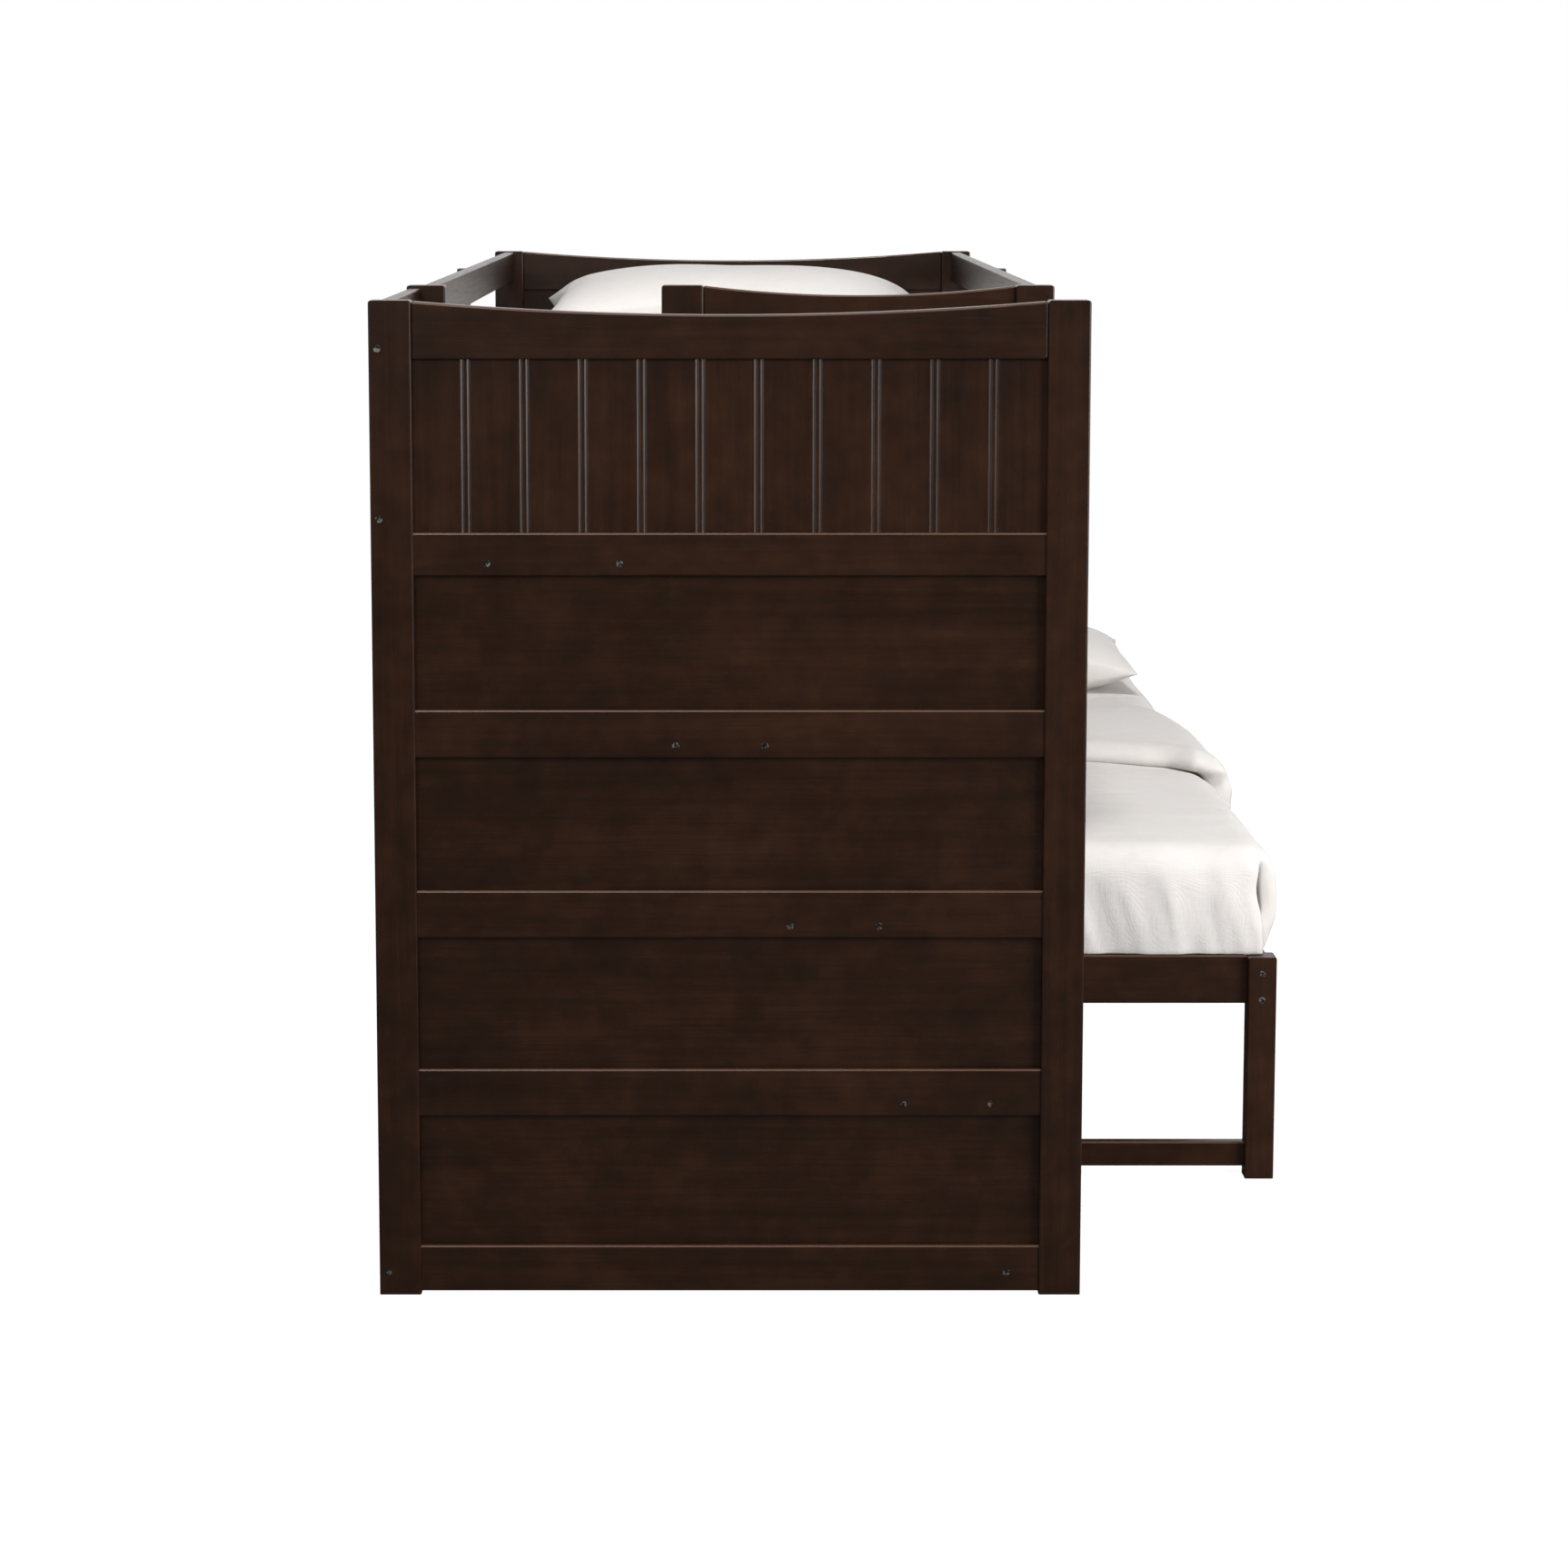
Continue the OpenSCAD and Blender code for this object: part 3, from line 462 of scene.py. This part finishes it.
# %% Give every node its finish
FINISHES = {
    wood_z: ["end_panel_back_stile", "end_panel_front_stile", "foot_back_post", "foot_front_post",
             "foot_gate_post", "head_back_post", "head_front_post", "guard_supports",
             "end_panel_beadboard", "bed_beadboards"],
    wood_x: ["end_panel_top_rail", "end_panel_guard_rail", "end_panel_cross_rails", "end_panel_flats",
             "foot_top_rail", "head_top_rail", "head_end_rails", "stair_inner_side"],
    # painted light: the low legs and rails get the lighter copy of the stain
    lit_copy_z: ["front_legs"],
    lit_copy_x: ["foot_end_rails"],
    wood_y: ["tread_1", "tread_2", "tread_3", "landing", "stair_back_panel", "stair_base_rails",
             "landing_guard_boards", "side_rails", "guard_rails", "trundle_front_board",
             "trundle_boards", *[f"drawer_{k}_front" for k in range(1, 5)]],
    pine_x: ["upper_slats", "lower_slats", "trundle_slats", "drawer_runners",
             *[f"drawer_{k}_box" for k in range(1, 5)]],
    pine_y: ["slat_ledgers"],
    black_steel: ["end_panel_bolts", "frame_bolts"],
    zinc: ["trundle_casters"],
    bronze: [f"drawer_{k}_knob" for k in range(1, 5)],
    wheel_rubber: ["trundle_front_wheels", "trundle_back_wheels"],
}

for finish, names in FINISHES.items():
    for name in names:
        nodes[name].data.materials.clear()
        nodes[name].data.materials.append(finish)
print(f"{sum(len(names) for names in FINISHES.values())} nodes finished")

# %% [markdown]
# ## Floor
# The floor is white to the camera, with no more than a faint shadow under the bed. To the lamps
# it is a middle grey, and in mirrors darker still, so that it doesn't glare in the lacquer.

# %% Lay the floor
FLOOR_SIZE = 60           # metres
FLOOR_GLOW = 0.9
FLOOR_GREY = 0.42
FLOOR_MIRRORED = 0.1
bpy.ops.object.select_all(action="DESELECT")
bpy.ops.mesh.primitive_plane_add(size=FLOOR_SIZE)
floor = named("studio_floor")
floor_paint = Shader("studio_floor", Roughness=0.9, Emission_Strength=1.0, Specular_IOR_Level=0)
in_view = floor_paint.node("LightPath", out="Is Camera Ray")
in_mirror = floor_paint.node("LightPath", out="Is Glossy Ray")
floor_paint.finish(
    Emission_Color=floor_paint.blend(in_view, (0, 0, 0, 1), (*[FLOOR_GLOW] * 3, 1)),
    Base_Color=floor_paint.blend(in_mirror, (*[FLOOR_GREY] * 3, 1), (*[FLOOR_MIRRORED] * 3, 1)))
floor.data.materials.append(floor_paint.material)
print("floor laid")

# %% [markdown]
# ## Eased edges
# A sawn edge is never left sharp on furniture: it is eased with a few strokes of sandpaper, and
# that narrow round is what catches the light along every board. The CAD model's boards have it
# already. The curved top rails and the staircase's stepped side don't, so they get it from two
# live modifiers, which leave the nodes' own mesh alone: Weld joins its loose triangles, and Bevel
# rounds only the edges that turn by more than an angle.

# %% Ease the edges of the curved boards
EASED = 0.0025            # width of the eased edge
for name in ("end_panel_top_rail", "foot_top_rail", "head_top_rail", "stair_inner_side"):
    weld = nodes[name].modifiers.new("weld", "WELD")
    weld.merge_threshold = 0.00005
    bevel = nodes[name].modifiers.new("ease", "BEVEL")
    bevel.width = EASED
    bevel.segments = 2
    bevel.limit_method = "ANGLE"
    bevel.angle_limit = math.radians(40)
print("edges eased")

# %% [markdown]
# ## How the bedding is made
# Stuffed things get their shape from pressure: two layers of cloth are sewn together, filled, and
# the cloth has to find room, which makes the crown in the middle and the puckers along the seam.
# Blender's cloth simulation does the same if the closed piece is blown up a little with gravity
# off. So each cushion or quilt starts as a thin closed slab of the size that it is cut to, is
# inflated for some frames, and then every point's travel is capped so that it stays in its place.

# %% Helpers: inflate, cap, rest
def inflate(obj, pressure, frames, stiff, bend, cap=None):
    """Blows a closed mesh up as cloth; cap is the farthest that a point may travel."""
    before = [v.co.copy() for v in obj.data.vertices]
    alone(obj)
    cloth = obj.modifiers.new("cloth", "CLOTH")
    cloth.settings.quality = 5
    cloth.settings.mass = 0.3
    cloth.settings.tension_stiffness = cloth.settings.compression_stiffness = stiff
    cloth.settings.shear_stiffness = stiff / 3
    cloth.settings.bending_stiffness = bend
    cloth.settings.use_pressure = True
    cloth.settings.uniform_pressure_force = pressure
    cloth.settings.effector_weights.gravity = 0
    cloth.collision_settings.use_collision = False
    cloth.point_cache.frame_end = frames
    for frame_number in range(1, frames + 1):
        scene.frame_set(frame_number)
    bpy.ops.object.modifier_apply(modifier=cloth.name)
    scene.frame_set(1)
    if cap is not None:
        for vertex, start in zip(obj.data.vertices, before):
            travel = vertex.co - start
            if travel.length > cap:
                vertex.co = start + travel * (cap / travel.length)


def stretch_to(obj, low, high):
    """Scales a mesh so that it just fills a box."""
    co = [v.co for v in obj.data.vertices]
    old_low = Vector([min(c[i] for c in co) for i in range(3)])
    old_high = Vector([max(c[i] for c in co) for i in range(3)])
    for c in co:
        for i in range(3):
            share = (c[i] - old_low[i]) / (old_high[i] - old_low[i])
            c[i] = low[i] + share * (high[i] - low[i])


def keep_out(obj, low, high, sides):
    """Pushes points that are inside a box out through the nearest of the named sides."""
    for vertex in obj.data.vertices:
        co = vertex.co
        if all(low[i] < co[i] < high[i] for i in range(3)):
            ways = {"-x": (0, low[0]), "+x": (0, high[0]), "-y": (1, low[1]),
                    "+y": (1, high[1]), "-z": (2, low[2]), "+z": (2, high[2])}
            axis, plane = min((ways[s] for s in sides), key=lambda way: abs(co[way[0]] - way[1]))
            co[axis] = plane


def finish_soft(obj, cloth):
    """One subdivision, smooth shading and the cloth, as the last step of a soft piece."""
    modify(obj, "SUBSURF", levels=1, render_levels=1)
    obj.data.materials.clear()
    obj.data.materials.append(cloth)
    return done(obj)


print("soft helpers ready")

# %% [markdown]
# ## Mattresses
# A boxed mattress is a block of springs or foam in a sewn cover: two panels and a border, joined
# by a piped seam round the top and the bottom. The corners are round from above, the panels are
# quilted, and nothing on it is quite flat. It starts as a box whose upright edges are bevelled
# wide. The panels then get a grid of points that is pushed down along the quilting, and the
# piping is a thin round cord that follows both edges.

# %% Helpers: piping round a mattress
CORNER = 0.055            # radius of a mattress's corner, seen from above
PIPING = 0.0045           # radius of the piping


def ring(low, high, z, radius, inset, steps=7):
    """Points round a rectangle with round corners, in order."""
    points = []
    corners = ((high.x, high.y, 0), (low.x, high.y, 90), (low.x, low.y, 180), (high.x, low.y, 270))
    for cx, cy, start in corners:
        middle = Vector((cx - math.copysign(radius, cx - (low.x + high.x) / 2),
                         cy - math.copysign(radius, cy - (low.y + high.y) / 2), z))
        for i in range(steps):
            a = math.radians(start + 90 * i / (steps - 1))
            points.append(middle + (radius - inset) * Vector((math.cos(a), math.sin(a), 0)))
    return points


def piping(name, points):
    """A round cord of cloth along a closed line of points."""
    curve = bpy.data.curves.new(name, "CURVE")
    curve.dimensions = "3D"
    curve.bevel_depth = PIPING
    curve.bevel_resolution = 2
    spline = curve.splines.new("POLY")
    spline.points.add(len(points) - 1)
    for point, co in zip(spline.points, points):
        point.co = (*co, 1)
    spline.use_cyclic_u = True
    obj = bpy.data.objects.new(name, curve)
    scene.collection.objects.link(obj)
    alone(obj)
    bpy.ops.object.convert(target="MESH")
    obj = bpy.context.object
    obj.data.materials.clear()
    obj.data.materials.append(piping_cloth)
    return done(obj)


print("piping ready")

# %% Helper: a boxed mattress
PITCH = 0.16              # of the stitched diamonds
STITCH_WIDTH = 0.022
STITCH_DEPTH = 0.0065
CROWN = 0.006             # how far a panel's rim lies below its middle


def mattress(name, node, body, cell):
    """A boxed mattress in the place of a CAD node, remeshed with points cell metres apart."""
    low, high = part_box(node)
    inset = PIPING * 0.8
    low, high = low + Vector((inset,) * 3), high - Vector((inset,) * 3)
    obj = block(name, low, high)
    middle, half = (low + high) / 2, (high - low) / 2
    pick(obj, "edges", lambda e: abs(e.verts[0].co.z - e.verts[1].co.z) > 0.01)
    bpy.ops.mesh.bevel(offset=CORNER, segments=6)
    bpy.ops.object.mode_set(mode="OBJECT")
    pick(obj, "edges", lambda e: abs(abs(e.verts[0].co.z - middle.z) - half.z) < 1e-4
         and abs(e.verts[0].co.z - e.verts[1].co.z) < 1e-4)
    bpy.ops.mesh.bevel(offset=0.012, segments=2)
    bpy.ops.object.mode_set(mode="OBJECT")
    modify(obj, "REMESH", mode="VOXEL", voxel_size=cell, use_smooth_shade=True)
    modify(obj, "SMOOTH", factor=0.5, iterations=4)
    for vertex in obj.data.vertices:
        co = vertex.co
        across = [(co[i] - middle[i]) / half[i] for i in range(3)]
        flat = max(0.0, 1 - across[0] ** 2) ** 0.5 * max(0.0, 1 - across[1] ** 2) ** 0.5
        if abs(across[2]) > 0.93:
            diamond = [abs(math.sin(math.pi * (co.x + s * co.y) / PITCH)) for s in (-1, 1)]
            stitch = math.exp(-(min(diamond) * PITCH / STITCH_WIDTH) ** 2)
            lump = noise.noise(co * 7.0) * 0.35
            sewn = STITCH_DEPTH * stitch * min(1, flat * 3)
            sink = sewn + CROWN * (1 - flat) - CROWN * 0.2 * lump * flat
            co.z -= math.copysign(max(sink, 0), across[2])
        else:
            bulge = 1 - across[2] ** 2
            for i in (0, 1):
                if abs(across[i]) > 0.9:
                    wave = noise.noise(Vector((co.x * 3, co.y * 3, co.z * 9))) * 0.0015
                    co[i] += math.copysign(PIPING * 0.5 * bulge + wave - 0.0015, across[i])
    obj.data.materials.clear()
    obj.data.materials.append(ticking)
    done(obj)
    for place, z in (("top", high.z - 0.012), ("bottom", low.z + 0.012)):
        edge = piping(f"{name}_piping_{place}", ring(low, high, z, CORNER, 0.001))
        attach(edge, body)
    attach(obj, body)
    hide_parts(node)
    print(f"{name}: {len(obj.data.polygons)} faces")


print("mattress helper ready")

# %% Three mattresses
mattress("upper_mattress_cover", "upper_mattress", "root", 0.012)
mattress("lower_mattress_cover", "lower_mattress", "root", 0.012)
mattress("trundle_mattress_cover", "trundle_mattress", "trundle", 0.0085)

# %% [markdown]
# ## Pillows
# A pillow is two panels sewn round their edge. When it is filled, the middle rises, the sides
# draw in between the corners and the corners stay as flat ears at half its height. A grid with a
# little thickness, blown up as cloth, gives the puckers and the drawn-in sides. Its crown is then
# evened towards the full, smooth swell of a stuffed pillow, and what would sink into the bed under
# it is pressed flat.

# %% Helper: a pillow
PILLOW_CELLS = 64         # along a pillow's width


def pillow(name, middle, size, lean, rest_z, seed):
    """size is width, depth and height as it lies; lean, in degrees, tips it up towards the head
    end; rest_z is the height of what it lies on."""
    bpy.ops.object.select_all(action="DESELECT")
    rows = round(PILLOW_CELLS * size[1] / size[0])
    bpy.ops.mesh.primitive_grid_add(x_subdivisions=PILLOW_CELLS, y_subdivisions=rows, size=1)
    obj = named(name)
    for vertex in obj.data.vertices:
        co = vertex.co
        co.x *= size[0] * 1.12
        co.y *= size[1] * 1.14
        co.z = 0.006 * noise.noise(Vector((co.x * 6, co.y * 6, seed)))
    modify(obj, "SOLIDIFY", thickness=0.012, offset=0)
    pressure, frames = ((5.5, 34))
    inflate(obj, pressure, frames, stiff=22, bend=0.25)
    half = Vector(size) / 2
    stretch_to(obj, -half, half)
    for vertex in obj.data.vertices:
        co = vertex.co
        across, along = min(1, abs(co.x) / half.x), min(1, abs(co.y) / half.y)
        swell = half.z * (1 - across ** 3.2) ** 0.7 * (1 - along ** 2.8) ** 0.7
        dent = noise.noise(Vector((co.x * 4, co.y * 4, seed + 7))) * 0.007 * (1 - across) * (1 - along)
        co.z = 0.35 * co.z + 0.65 * math.copysign(swell, co.z) + dent
    turn = math.radians(lean)
    for vertex in obj.data.vertices:
        x, y, z = vertex.co
        vertex.co = (x + middle[0], y * math.cos(turn) - z * math.sin(turn) + middle[1],
                     y * math.sin(turn) + z * math.cos(turn) + middle[2])
    floor_z = rest_z + 0.002
    for vertex in obj.data.vertices:
        if vertex.co.z < floor_z:
            vertex.co.z = floor_z + (vertex.co.z - floor_z) * 0.02
    return finish_soft(obj, linen)


def bedded(obj, body, node):
    """The calls that every stuffed piece of bedding ends with."""
    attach(obj, body)
    if node:
        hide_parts(node)
    print(f"{obj.name}: {len(obj.data.polygons)} faces")


def middle_of(low, high):
    """The middle of a box, as three numbers."""
    return ((low.x + high.x) / 2, (low.y + high.y) / 2, (low.z + high.z) / 2)


print("pillow helpers ready")

# %% The upper pillow
upper_low, upper_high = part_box("upper_pillow")
upper_size = (0.838, upper_high.y - upper_low.y, upper_high.z - upper_low.z + 0.008)
upper_pillow = pillow("upper_pillow_case", middle_of(upper_low, upper_high), upper_size, 5,
                      upper_low.z, 3)
bedded(upper_pillow, "root", "upper_pillow")

# %% The two lower pillows
pillow_low, pillow_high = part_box("lower_pillows")
LOWER_PILLOW = (0.675, 0.43, 0.176)
for side, sign in (("back", -1), ("front", 1)):
    x, y, z = middle_of(pillow_low, pillow_high)
    made = pillow(f"lower_pillow_{side}", (x + sign * 0.349, y + 0.02, z - 0.008),
                  LOWER_PILLOW, 1.5, pillow_low.z + 0.006, 11 + sign)
    bedded(made, "root", "lower_pillows")

# %% [markdown]
# ## Quilts
# The lower quilt lies over the mattress, hangs down its front side and is tucked in behind the
# side rail; at the foot it is tucked in the same way, so that its corner parts into two flaps with
# a slit between them. Its upper third is turned back towards the foot, which leaves a soft roll
# across the bed. A sheet that bends over edges is easiest to place by the length along it: a grid
# is laid out flat, and each point is then carried so far across the top, round the edge and down.

# %% Helper: carry a point over a round edge
def over_edge(run, flat, radius):
    """How far across and how far down a point lies that is run metres along the cloth."""
    if run <= flat:
        return run, 0.0
    turn = (run - flat) / radius
    if turn < math.pi / 2:
        return flat + radius * math.sin(turn), radius * (1 - math.cos(turn))
    return flat + radius, radius + run - flat - radius * math.pi / 2


def ease(value, start, end):
    """0 before start, 1 after end, smooth between them."""
    share = min(1.0, max(0.0, (value - start) / (end - start)))
    return share * share * (3 - 2 * share)


print("sheet helpers ready")

# %% Helper: a quilt
def quilt(name, back, head, top, front, foot, front_drop, foot_drop, radius, thick, cell, tuck=0.0):
    """front and foot are functions of the other coordinate, so that a side can swing out.
    The hem of a side that hangs is tucked in, least near the pillows, and the foot's flap bows
    in at the corner."""
    flat_x = front(0) - radius - back
    flat_y = head - foot(0) - radius
    long_x = flat_x + (radius * math.pi / 2 + front_drop - radius if front_drop else radius * 0.9)
    long_y = flat_y + (radius * math.pi / 2 + foot_drop - radius if foot_drop else radius * 0.9)
    bpy.ops.object.select_all(action="DESELECT")
    bpy.ops.mesh.primitive_grid_add(x_subdivisions=round(long_x / cell),
                                    y_subdivisions=round(long_y / cell), size=1)
    obj = named(name)
    slit_x, slit_y = (flat_x + radius * 0.48) / long_x, (flat_y + radius * 0.75) / long_y
    if front_drop and foot_drop:
        pick(obj, "faces", lambda f: f.calc_center_median().x + 0.5 > slit_x
             and 0.5 - f.calc_center_median().y > slit_y)
        bpy.ops.mesh.delete(type="FACE")
        bpy.ops.object.mode_set(mode="OBJECT")
    for vertex in obj.data.vertices:
        across, down_x = over_edge((vertex.co.x + 0.5) * long_x, flat_x, radius)
        along, down_y = over_edge((0.5 - vertex.co.y) * long_y, flat_y, radius)
        x, y = back + across, head - along
        swing_x, swing_y = ease(across, flat_x * 0.6, flat_x), ease(along, flat_y * 0.7, flat_y)
        x += (front(y) - front(0)) * swing_x
        y += (foot(x) - foot(0)) * swing_y
        if front_drop:
            held = 1 - 0.75 * ease(y, 0.15, 0.4)
            x -= tuck * held * ease(down_x, front_drop * 0.5, front_drop) ** 1.5
        if foot_drop:
            y += tuck * 0.35 * ease(down_y, foot_drop * 0.5, foot_drop) ** 1.5
            corner = ease(across, flat_x - 0.03, flat_x + radius * 0.4)
            bow = math.exp(-((down_y - 0.065) / 0.042) ** 2) * corner
            x -= 0.01 * bow
        vertex.co = (x, y, top - down_x - down_y)
    modify(obj, "SOLIDIFY", thickness=thick, offset=-1, use_even_offset=True)
    return obj


print("quilt helper ready")

# %% Helpers: move a quilt's points
def rumple(obj, terms):
    """Moves every point along its normal by the sum of some height functions of its place."""
    normals = [v.normal.copy() for v in obj.data.vertices]
    for vertex, normal in zip(obj.data.vertices, normals):
        vertex.co += normal * sum(term(vertex.co, normal) for term in terms)


def ridges(co, scale, seed):
    """A noise whose zero lines are sharp crests, as folds in cloth are."""
    place = Vector((co.x * scale[0], co.y * scale[1], co.z * scale[2]))
    value = noise.noise(place + Vector((seed,) * 3))
    return 0.5 - min(1.0, abs(value) * 2.6)


def settle(obj, start, end, depth):
    """Lowers a quilt smoothly between two places along Y, and keeps it low from there on. A
    negative depth raises it."""
    for vertex in obj.data.vertices:
        vertex.co.z -= depth * ease(vertex.co.y, start, end)


print("fold helpers ready")

# %% [markdown]
# ## Creases
# Cloth that hangs from an edge creases downwards: a few broad soft folds, and finer ones between
# them that fade towards the top, where the stuffing holds it smooth. On the flat it only ripples.
# Each kind is a noise that is stretched along the fold, and a mask that says where it belongs.

# %% Measures of the lower bed
quilt_low, quilt_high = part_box("lower_duvet")
lower_low, lower_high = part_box("lower_mattress")
post_low, post_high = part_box("foot_front_post")
leg_low, leg_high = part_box("front_legs")
rail_low, rail_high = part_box("foot_end_rails")
LOFT = 0.031              # thickness of one layer of quilt
FOLD = 0.09               # where the turned-back part ends in the middle of the bed, along Y
hem = leg_high.z + 0.003
quilt_top = lower_high.z + 0.002 + LOFT
CLEAR = Vector((0.001,) * 3)
print(f"quilt top {quilt_top:.3f}, hem {hem:.3f}, foot flap up to y {quilt_low.y:.3f}")


# %% The lower quilt's sides and creases
def front_side(y):
    """The quilt's front side: outside the leg at the foot, pressed in where the turned-back part
    lies on it, and a little fuller again beside the pillows."""
    pressed = 0.741 - 0.014 * ease(y, -0.1, 0.06) - 0.015 * ease(y, 0.4, 0.62)
    return pressed + 0.019 * ease(y, 0.72, 0.84) + 0.002 * math.sin(y * 9)


def foot_side(x):
    """The quilt's foot side: inside the post, and out on the end rail between post and leg."""
    return post_high.y + 0.0015 - 0.0235 * ease(x, post_high.x + 0.004, post_high.x + 0.06)


def foot_creases(co, normal):
    """Folds that hang from the foot's edge, fainter towards the back."""
    mask = ease(-normal.y, 0.3, 0.8) * ease(quilt_top - co.z, 0.01, 0.07)
    slant = Vector((co.x + 0.25 * (co.z - hem), co.y, co.z))
    broad = ridges(slant, (13, 2, 1.6), 3.1) * 0.0048
    fine = ridges(slant, (31, 3, 4.2), 8.4) * 0.0032 * ease(quilt_top - co.z, 0.04, 0.1)
    faint = ridges(slant, (64, 3, 9), 2.2) * 0.0011 * ease(quilt_top - co.z, 0.06, 0.12)
    return mask * (broad + fine + faint) * (0.35 + 0.65 * ease(co.x, 0.25, 0.36))


def front_creases(co, normal):
    """Folds that hang from the front edge."""
    mask = ease(normal.x, 0.3, 0.8) * ease(quilt_top - co.z, 0.02, 0.09)
    broad = ridges(co, (2, 9, 1.5), 5.2) * 0.004
    fine = ridges(co, (2, 26, 3), 1.7) * 0.0016
    return mask * (broad + fine) - 0.002 * mask


def top_ripple(co, normal):
    """A gentle unevenness of what lies flat."""
    mask = ease(normal.z, 0.5, 0.9)
    broad = noise.noise(Vector((co.x * 3.2, co.y * 2.6, 4.0))) * 0.0045
    fine = ridges(co, (5, 17, 2), 6.6) * 0.0011
    return mask * (broad + fine)


print("sides and creases ready")

# %% The lower quilt
QUILT_CELL = 0.016
lower_quilt = quilt("lower_quilt", quilt_low.x - 0.002, quilt_high.y, quilt_top, front_side, foot_side,
                    quilt_top - hem, quilt_top - hem + 0.022, 0.05, LOFT, QUILT_CELL, tuck=0.024)
inflate(lower_quilt, 2.2, 14, stiff=30, bend=1.5, cap=0.007)
modify(lower_quilt, "SUBSURF", levels=1, render_levels=1)
settle(lower_quilt, 0.72, 0.84, -0.007)
rumple(lower_quilt, [foot_creases, front_creases, top_ripple])
keep_out(lower_quilt, lower_low - CLEAR, lower_high + CLEAR, ["+z", "+x", "-y"])
keep_out(lower_quilt, Vector((post_low.x, post_low.y - 0.02, 0)) - CLEAR, post_high + CLEAR, ["+y"])
keep_out(lower_quilt, Vector((leg_low.x, rail_low.y, 0)), leg_high + CLEAR, ["+z"])
keep_out(lower_quilt, rail_low, Vector((rail_high.x, rail_high.y, leg_high.z)) + CLEAR, ["+z"])
modify(lower_quilt, "SMOOTH", factor=0.4, iterations=1)
lower_quilt.data.materials.append(linen)
done(lower_quilt)
bedded(lower_quilt, "root", "lower_duvet")

# %% [markdown]
# ## The turned-back part
# The turned-back third is the same cloth folded over on itself, so it ends in a roll and not in a
# hem. It is a second slab on the first, thicker along the fold, where two layers of stuffing
# turn. Short creases gather where the roll goes over the front edge.

# %% The shape of the turned-back third
SLACK_FROM = 0.645        # along Y: towards the foot the turned-back part hangs loose


def turned_front(y):
    """Drawn in beside the pillows, and swelling out from a nick where the tucking-in ends."""
    loose = 0.757 - 0.039 * ease(y, 0.1, SLACK_FROM + 0.01) ** 1.6
    return loose + 0.007 * ease(y, SLACK_FROM, SLACK_FROM + 0.05)


def fold_line(x):
    """The turned-back hem runs a little askew, nearer to the foot at the bed's front."""
    return FOLD - 0.11 * ease(x, 0.3, 0.8) - 0.03 * ease(x, 0.64, 0.72) + 0.003 * math.sin(x * 6)


def behind_hem(co):
    """How far a point lies behind the hem, in metres."""
    return co.y - fold_line(co.x)


def roll(co, normal):
    """The swelling along the fold."""
    near = 1 - ease(behind_hem(co), 0.02, 0.12)
    return near * (0.0085 + 0.002 * noise.noise(Vector((co.x * 7, 1.0, 2.0))))


def undercut(obj, depth, reach):
    """Draws the underside of the hem in, so that a dark line shows where it rests."""
    for vertex in obj.data.vertices:
        low = 1 - ease(vertex.co.z - quilt_top, 0.0, reach)
        vertex.co.y += depth * low * (1 - ease(behind_hem(vertex.co), 0.01, 0.05))


def roll_creases(co, normal):
    """Short creases where the roll goes over the front edge."""
    near = (1 - ease(behind_hem(co), 0.03, 0.15)) * ease(co.x, 0.55, 0.7)
    return near * ridges(co, (30, 6, 12), 2.3) * 0.005


print("turned-back shape ready")

# %% The turned-back third
turnback = quilt("turned_back_quilt", quilt_low.x - 0.001, pillow_low.y - 0.012,
                 quilt_top + LOFT + 0.004, turned_front, fold_line, quilt_top + LOFT - hem - 0.02, 0,
                 0.056, LOFT - 0.001, 0.0155, tuck=0.02)
inflate(turnback, 2.4, 14, stiff=30, bend=1.2, cap=0.006)
modify(turnback, "SUBSURF", levels=1, render_levels=1)
settle(turnback, 0.45, 0.74, 0.018)
rumple(turnback, [roll, roll_creases, front_creases, top_ripple])
under_turnback = Vector((lower_high.x + 0.02, 2, quilt_top + 0.002))
keep_out(turnback, lower_low - CLEAR, under_turnback, ["+z", "+x"])
undercut(turnback, 0.018, 0.008)
modify(turnback, "SMOOTH", factor=0.4, iterations=1)
turnback.data.materials.append(linen)
done(turnback)
bedded(turnback, "root", None)

# %% [markdown]
# ## The upper quilt
# The upper bunk's quilt lies inside the guards, so it doesn't hang: it ends in a thick soft edge
# on the mattress all round, and ripples more, because nobody can reach in to pull it straight.

# %% The upper quilt's sides and ripples
top_low, top_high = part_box("upper_duvet")


def upper_front(y):
    """The front edge, which wanders a little."""
    return top_high.x - 0.002 + 0.003 * math.sin(y * 7)


def upper_foot(x):
    """The foot edge, which wanders a little."""
    return top_low.y + 0.004 + 0.003 * math.sin(x * 9)


def upper_ripple(co, normal):
    """A stronger unevenness than the lower quilt's."""
    mask = ease(normal.z, 0.5, 0.9)
    broad = noise.noise(Vector((co.x * 4, co.y * 3, 9.0))) * 0.007
    fine = ridges(co, (6, 14, 2), 3.3) * 0.0022
    return mask * (broad + fine)


print(f"upper quilt from y {top_low.y:.3f} to {top_high.y:.3f}")

# %% The upper quilt
upper_quilt = quilt("upper_quilt", top_low.x + 0.003, top_high.y, top_high.z - 0.001, upper_front,
                    upper_foot, 0, 0, 0.02, LOFT - 0.002, 0.018)
inflate(upper_quilt, 2.2, 14, stiff=30, bend=1.2, cap=0.007)
modify(upper_quilt, "SUBSURF", levels=1, render_levels=1)
rumple(upper_quilt, [upper_ripple])
upper_bed_low, upper_bed_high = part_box("upper_mattress")
keep_out(upper_quilt, upper_bed_low - CLEAR, upper_bed_high + CLEAR, ["+z"])
upper_quilt.data.materials.append(linen)
done(upper_quilt)
bedded(upper_quilt, "root", "upper_duvet")
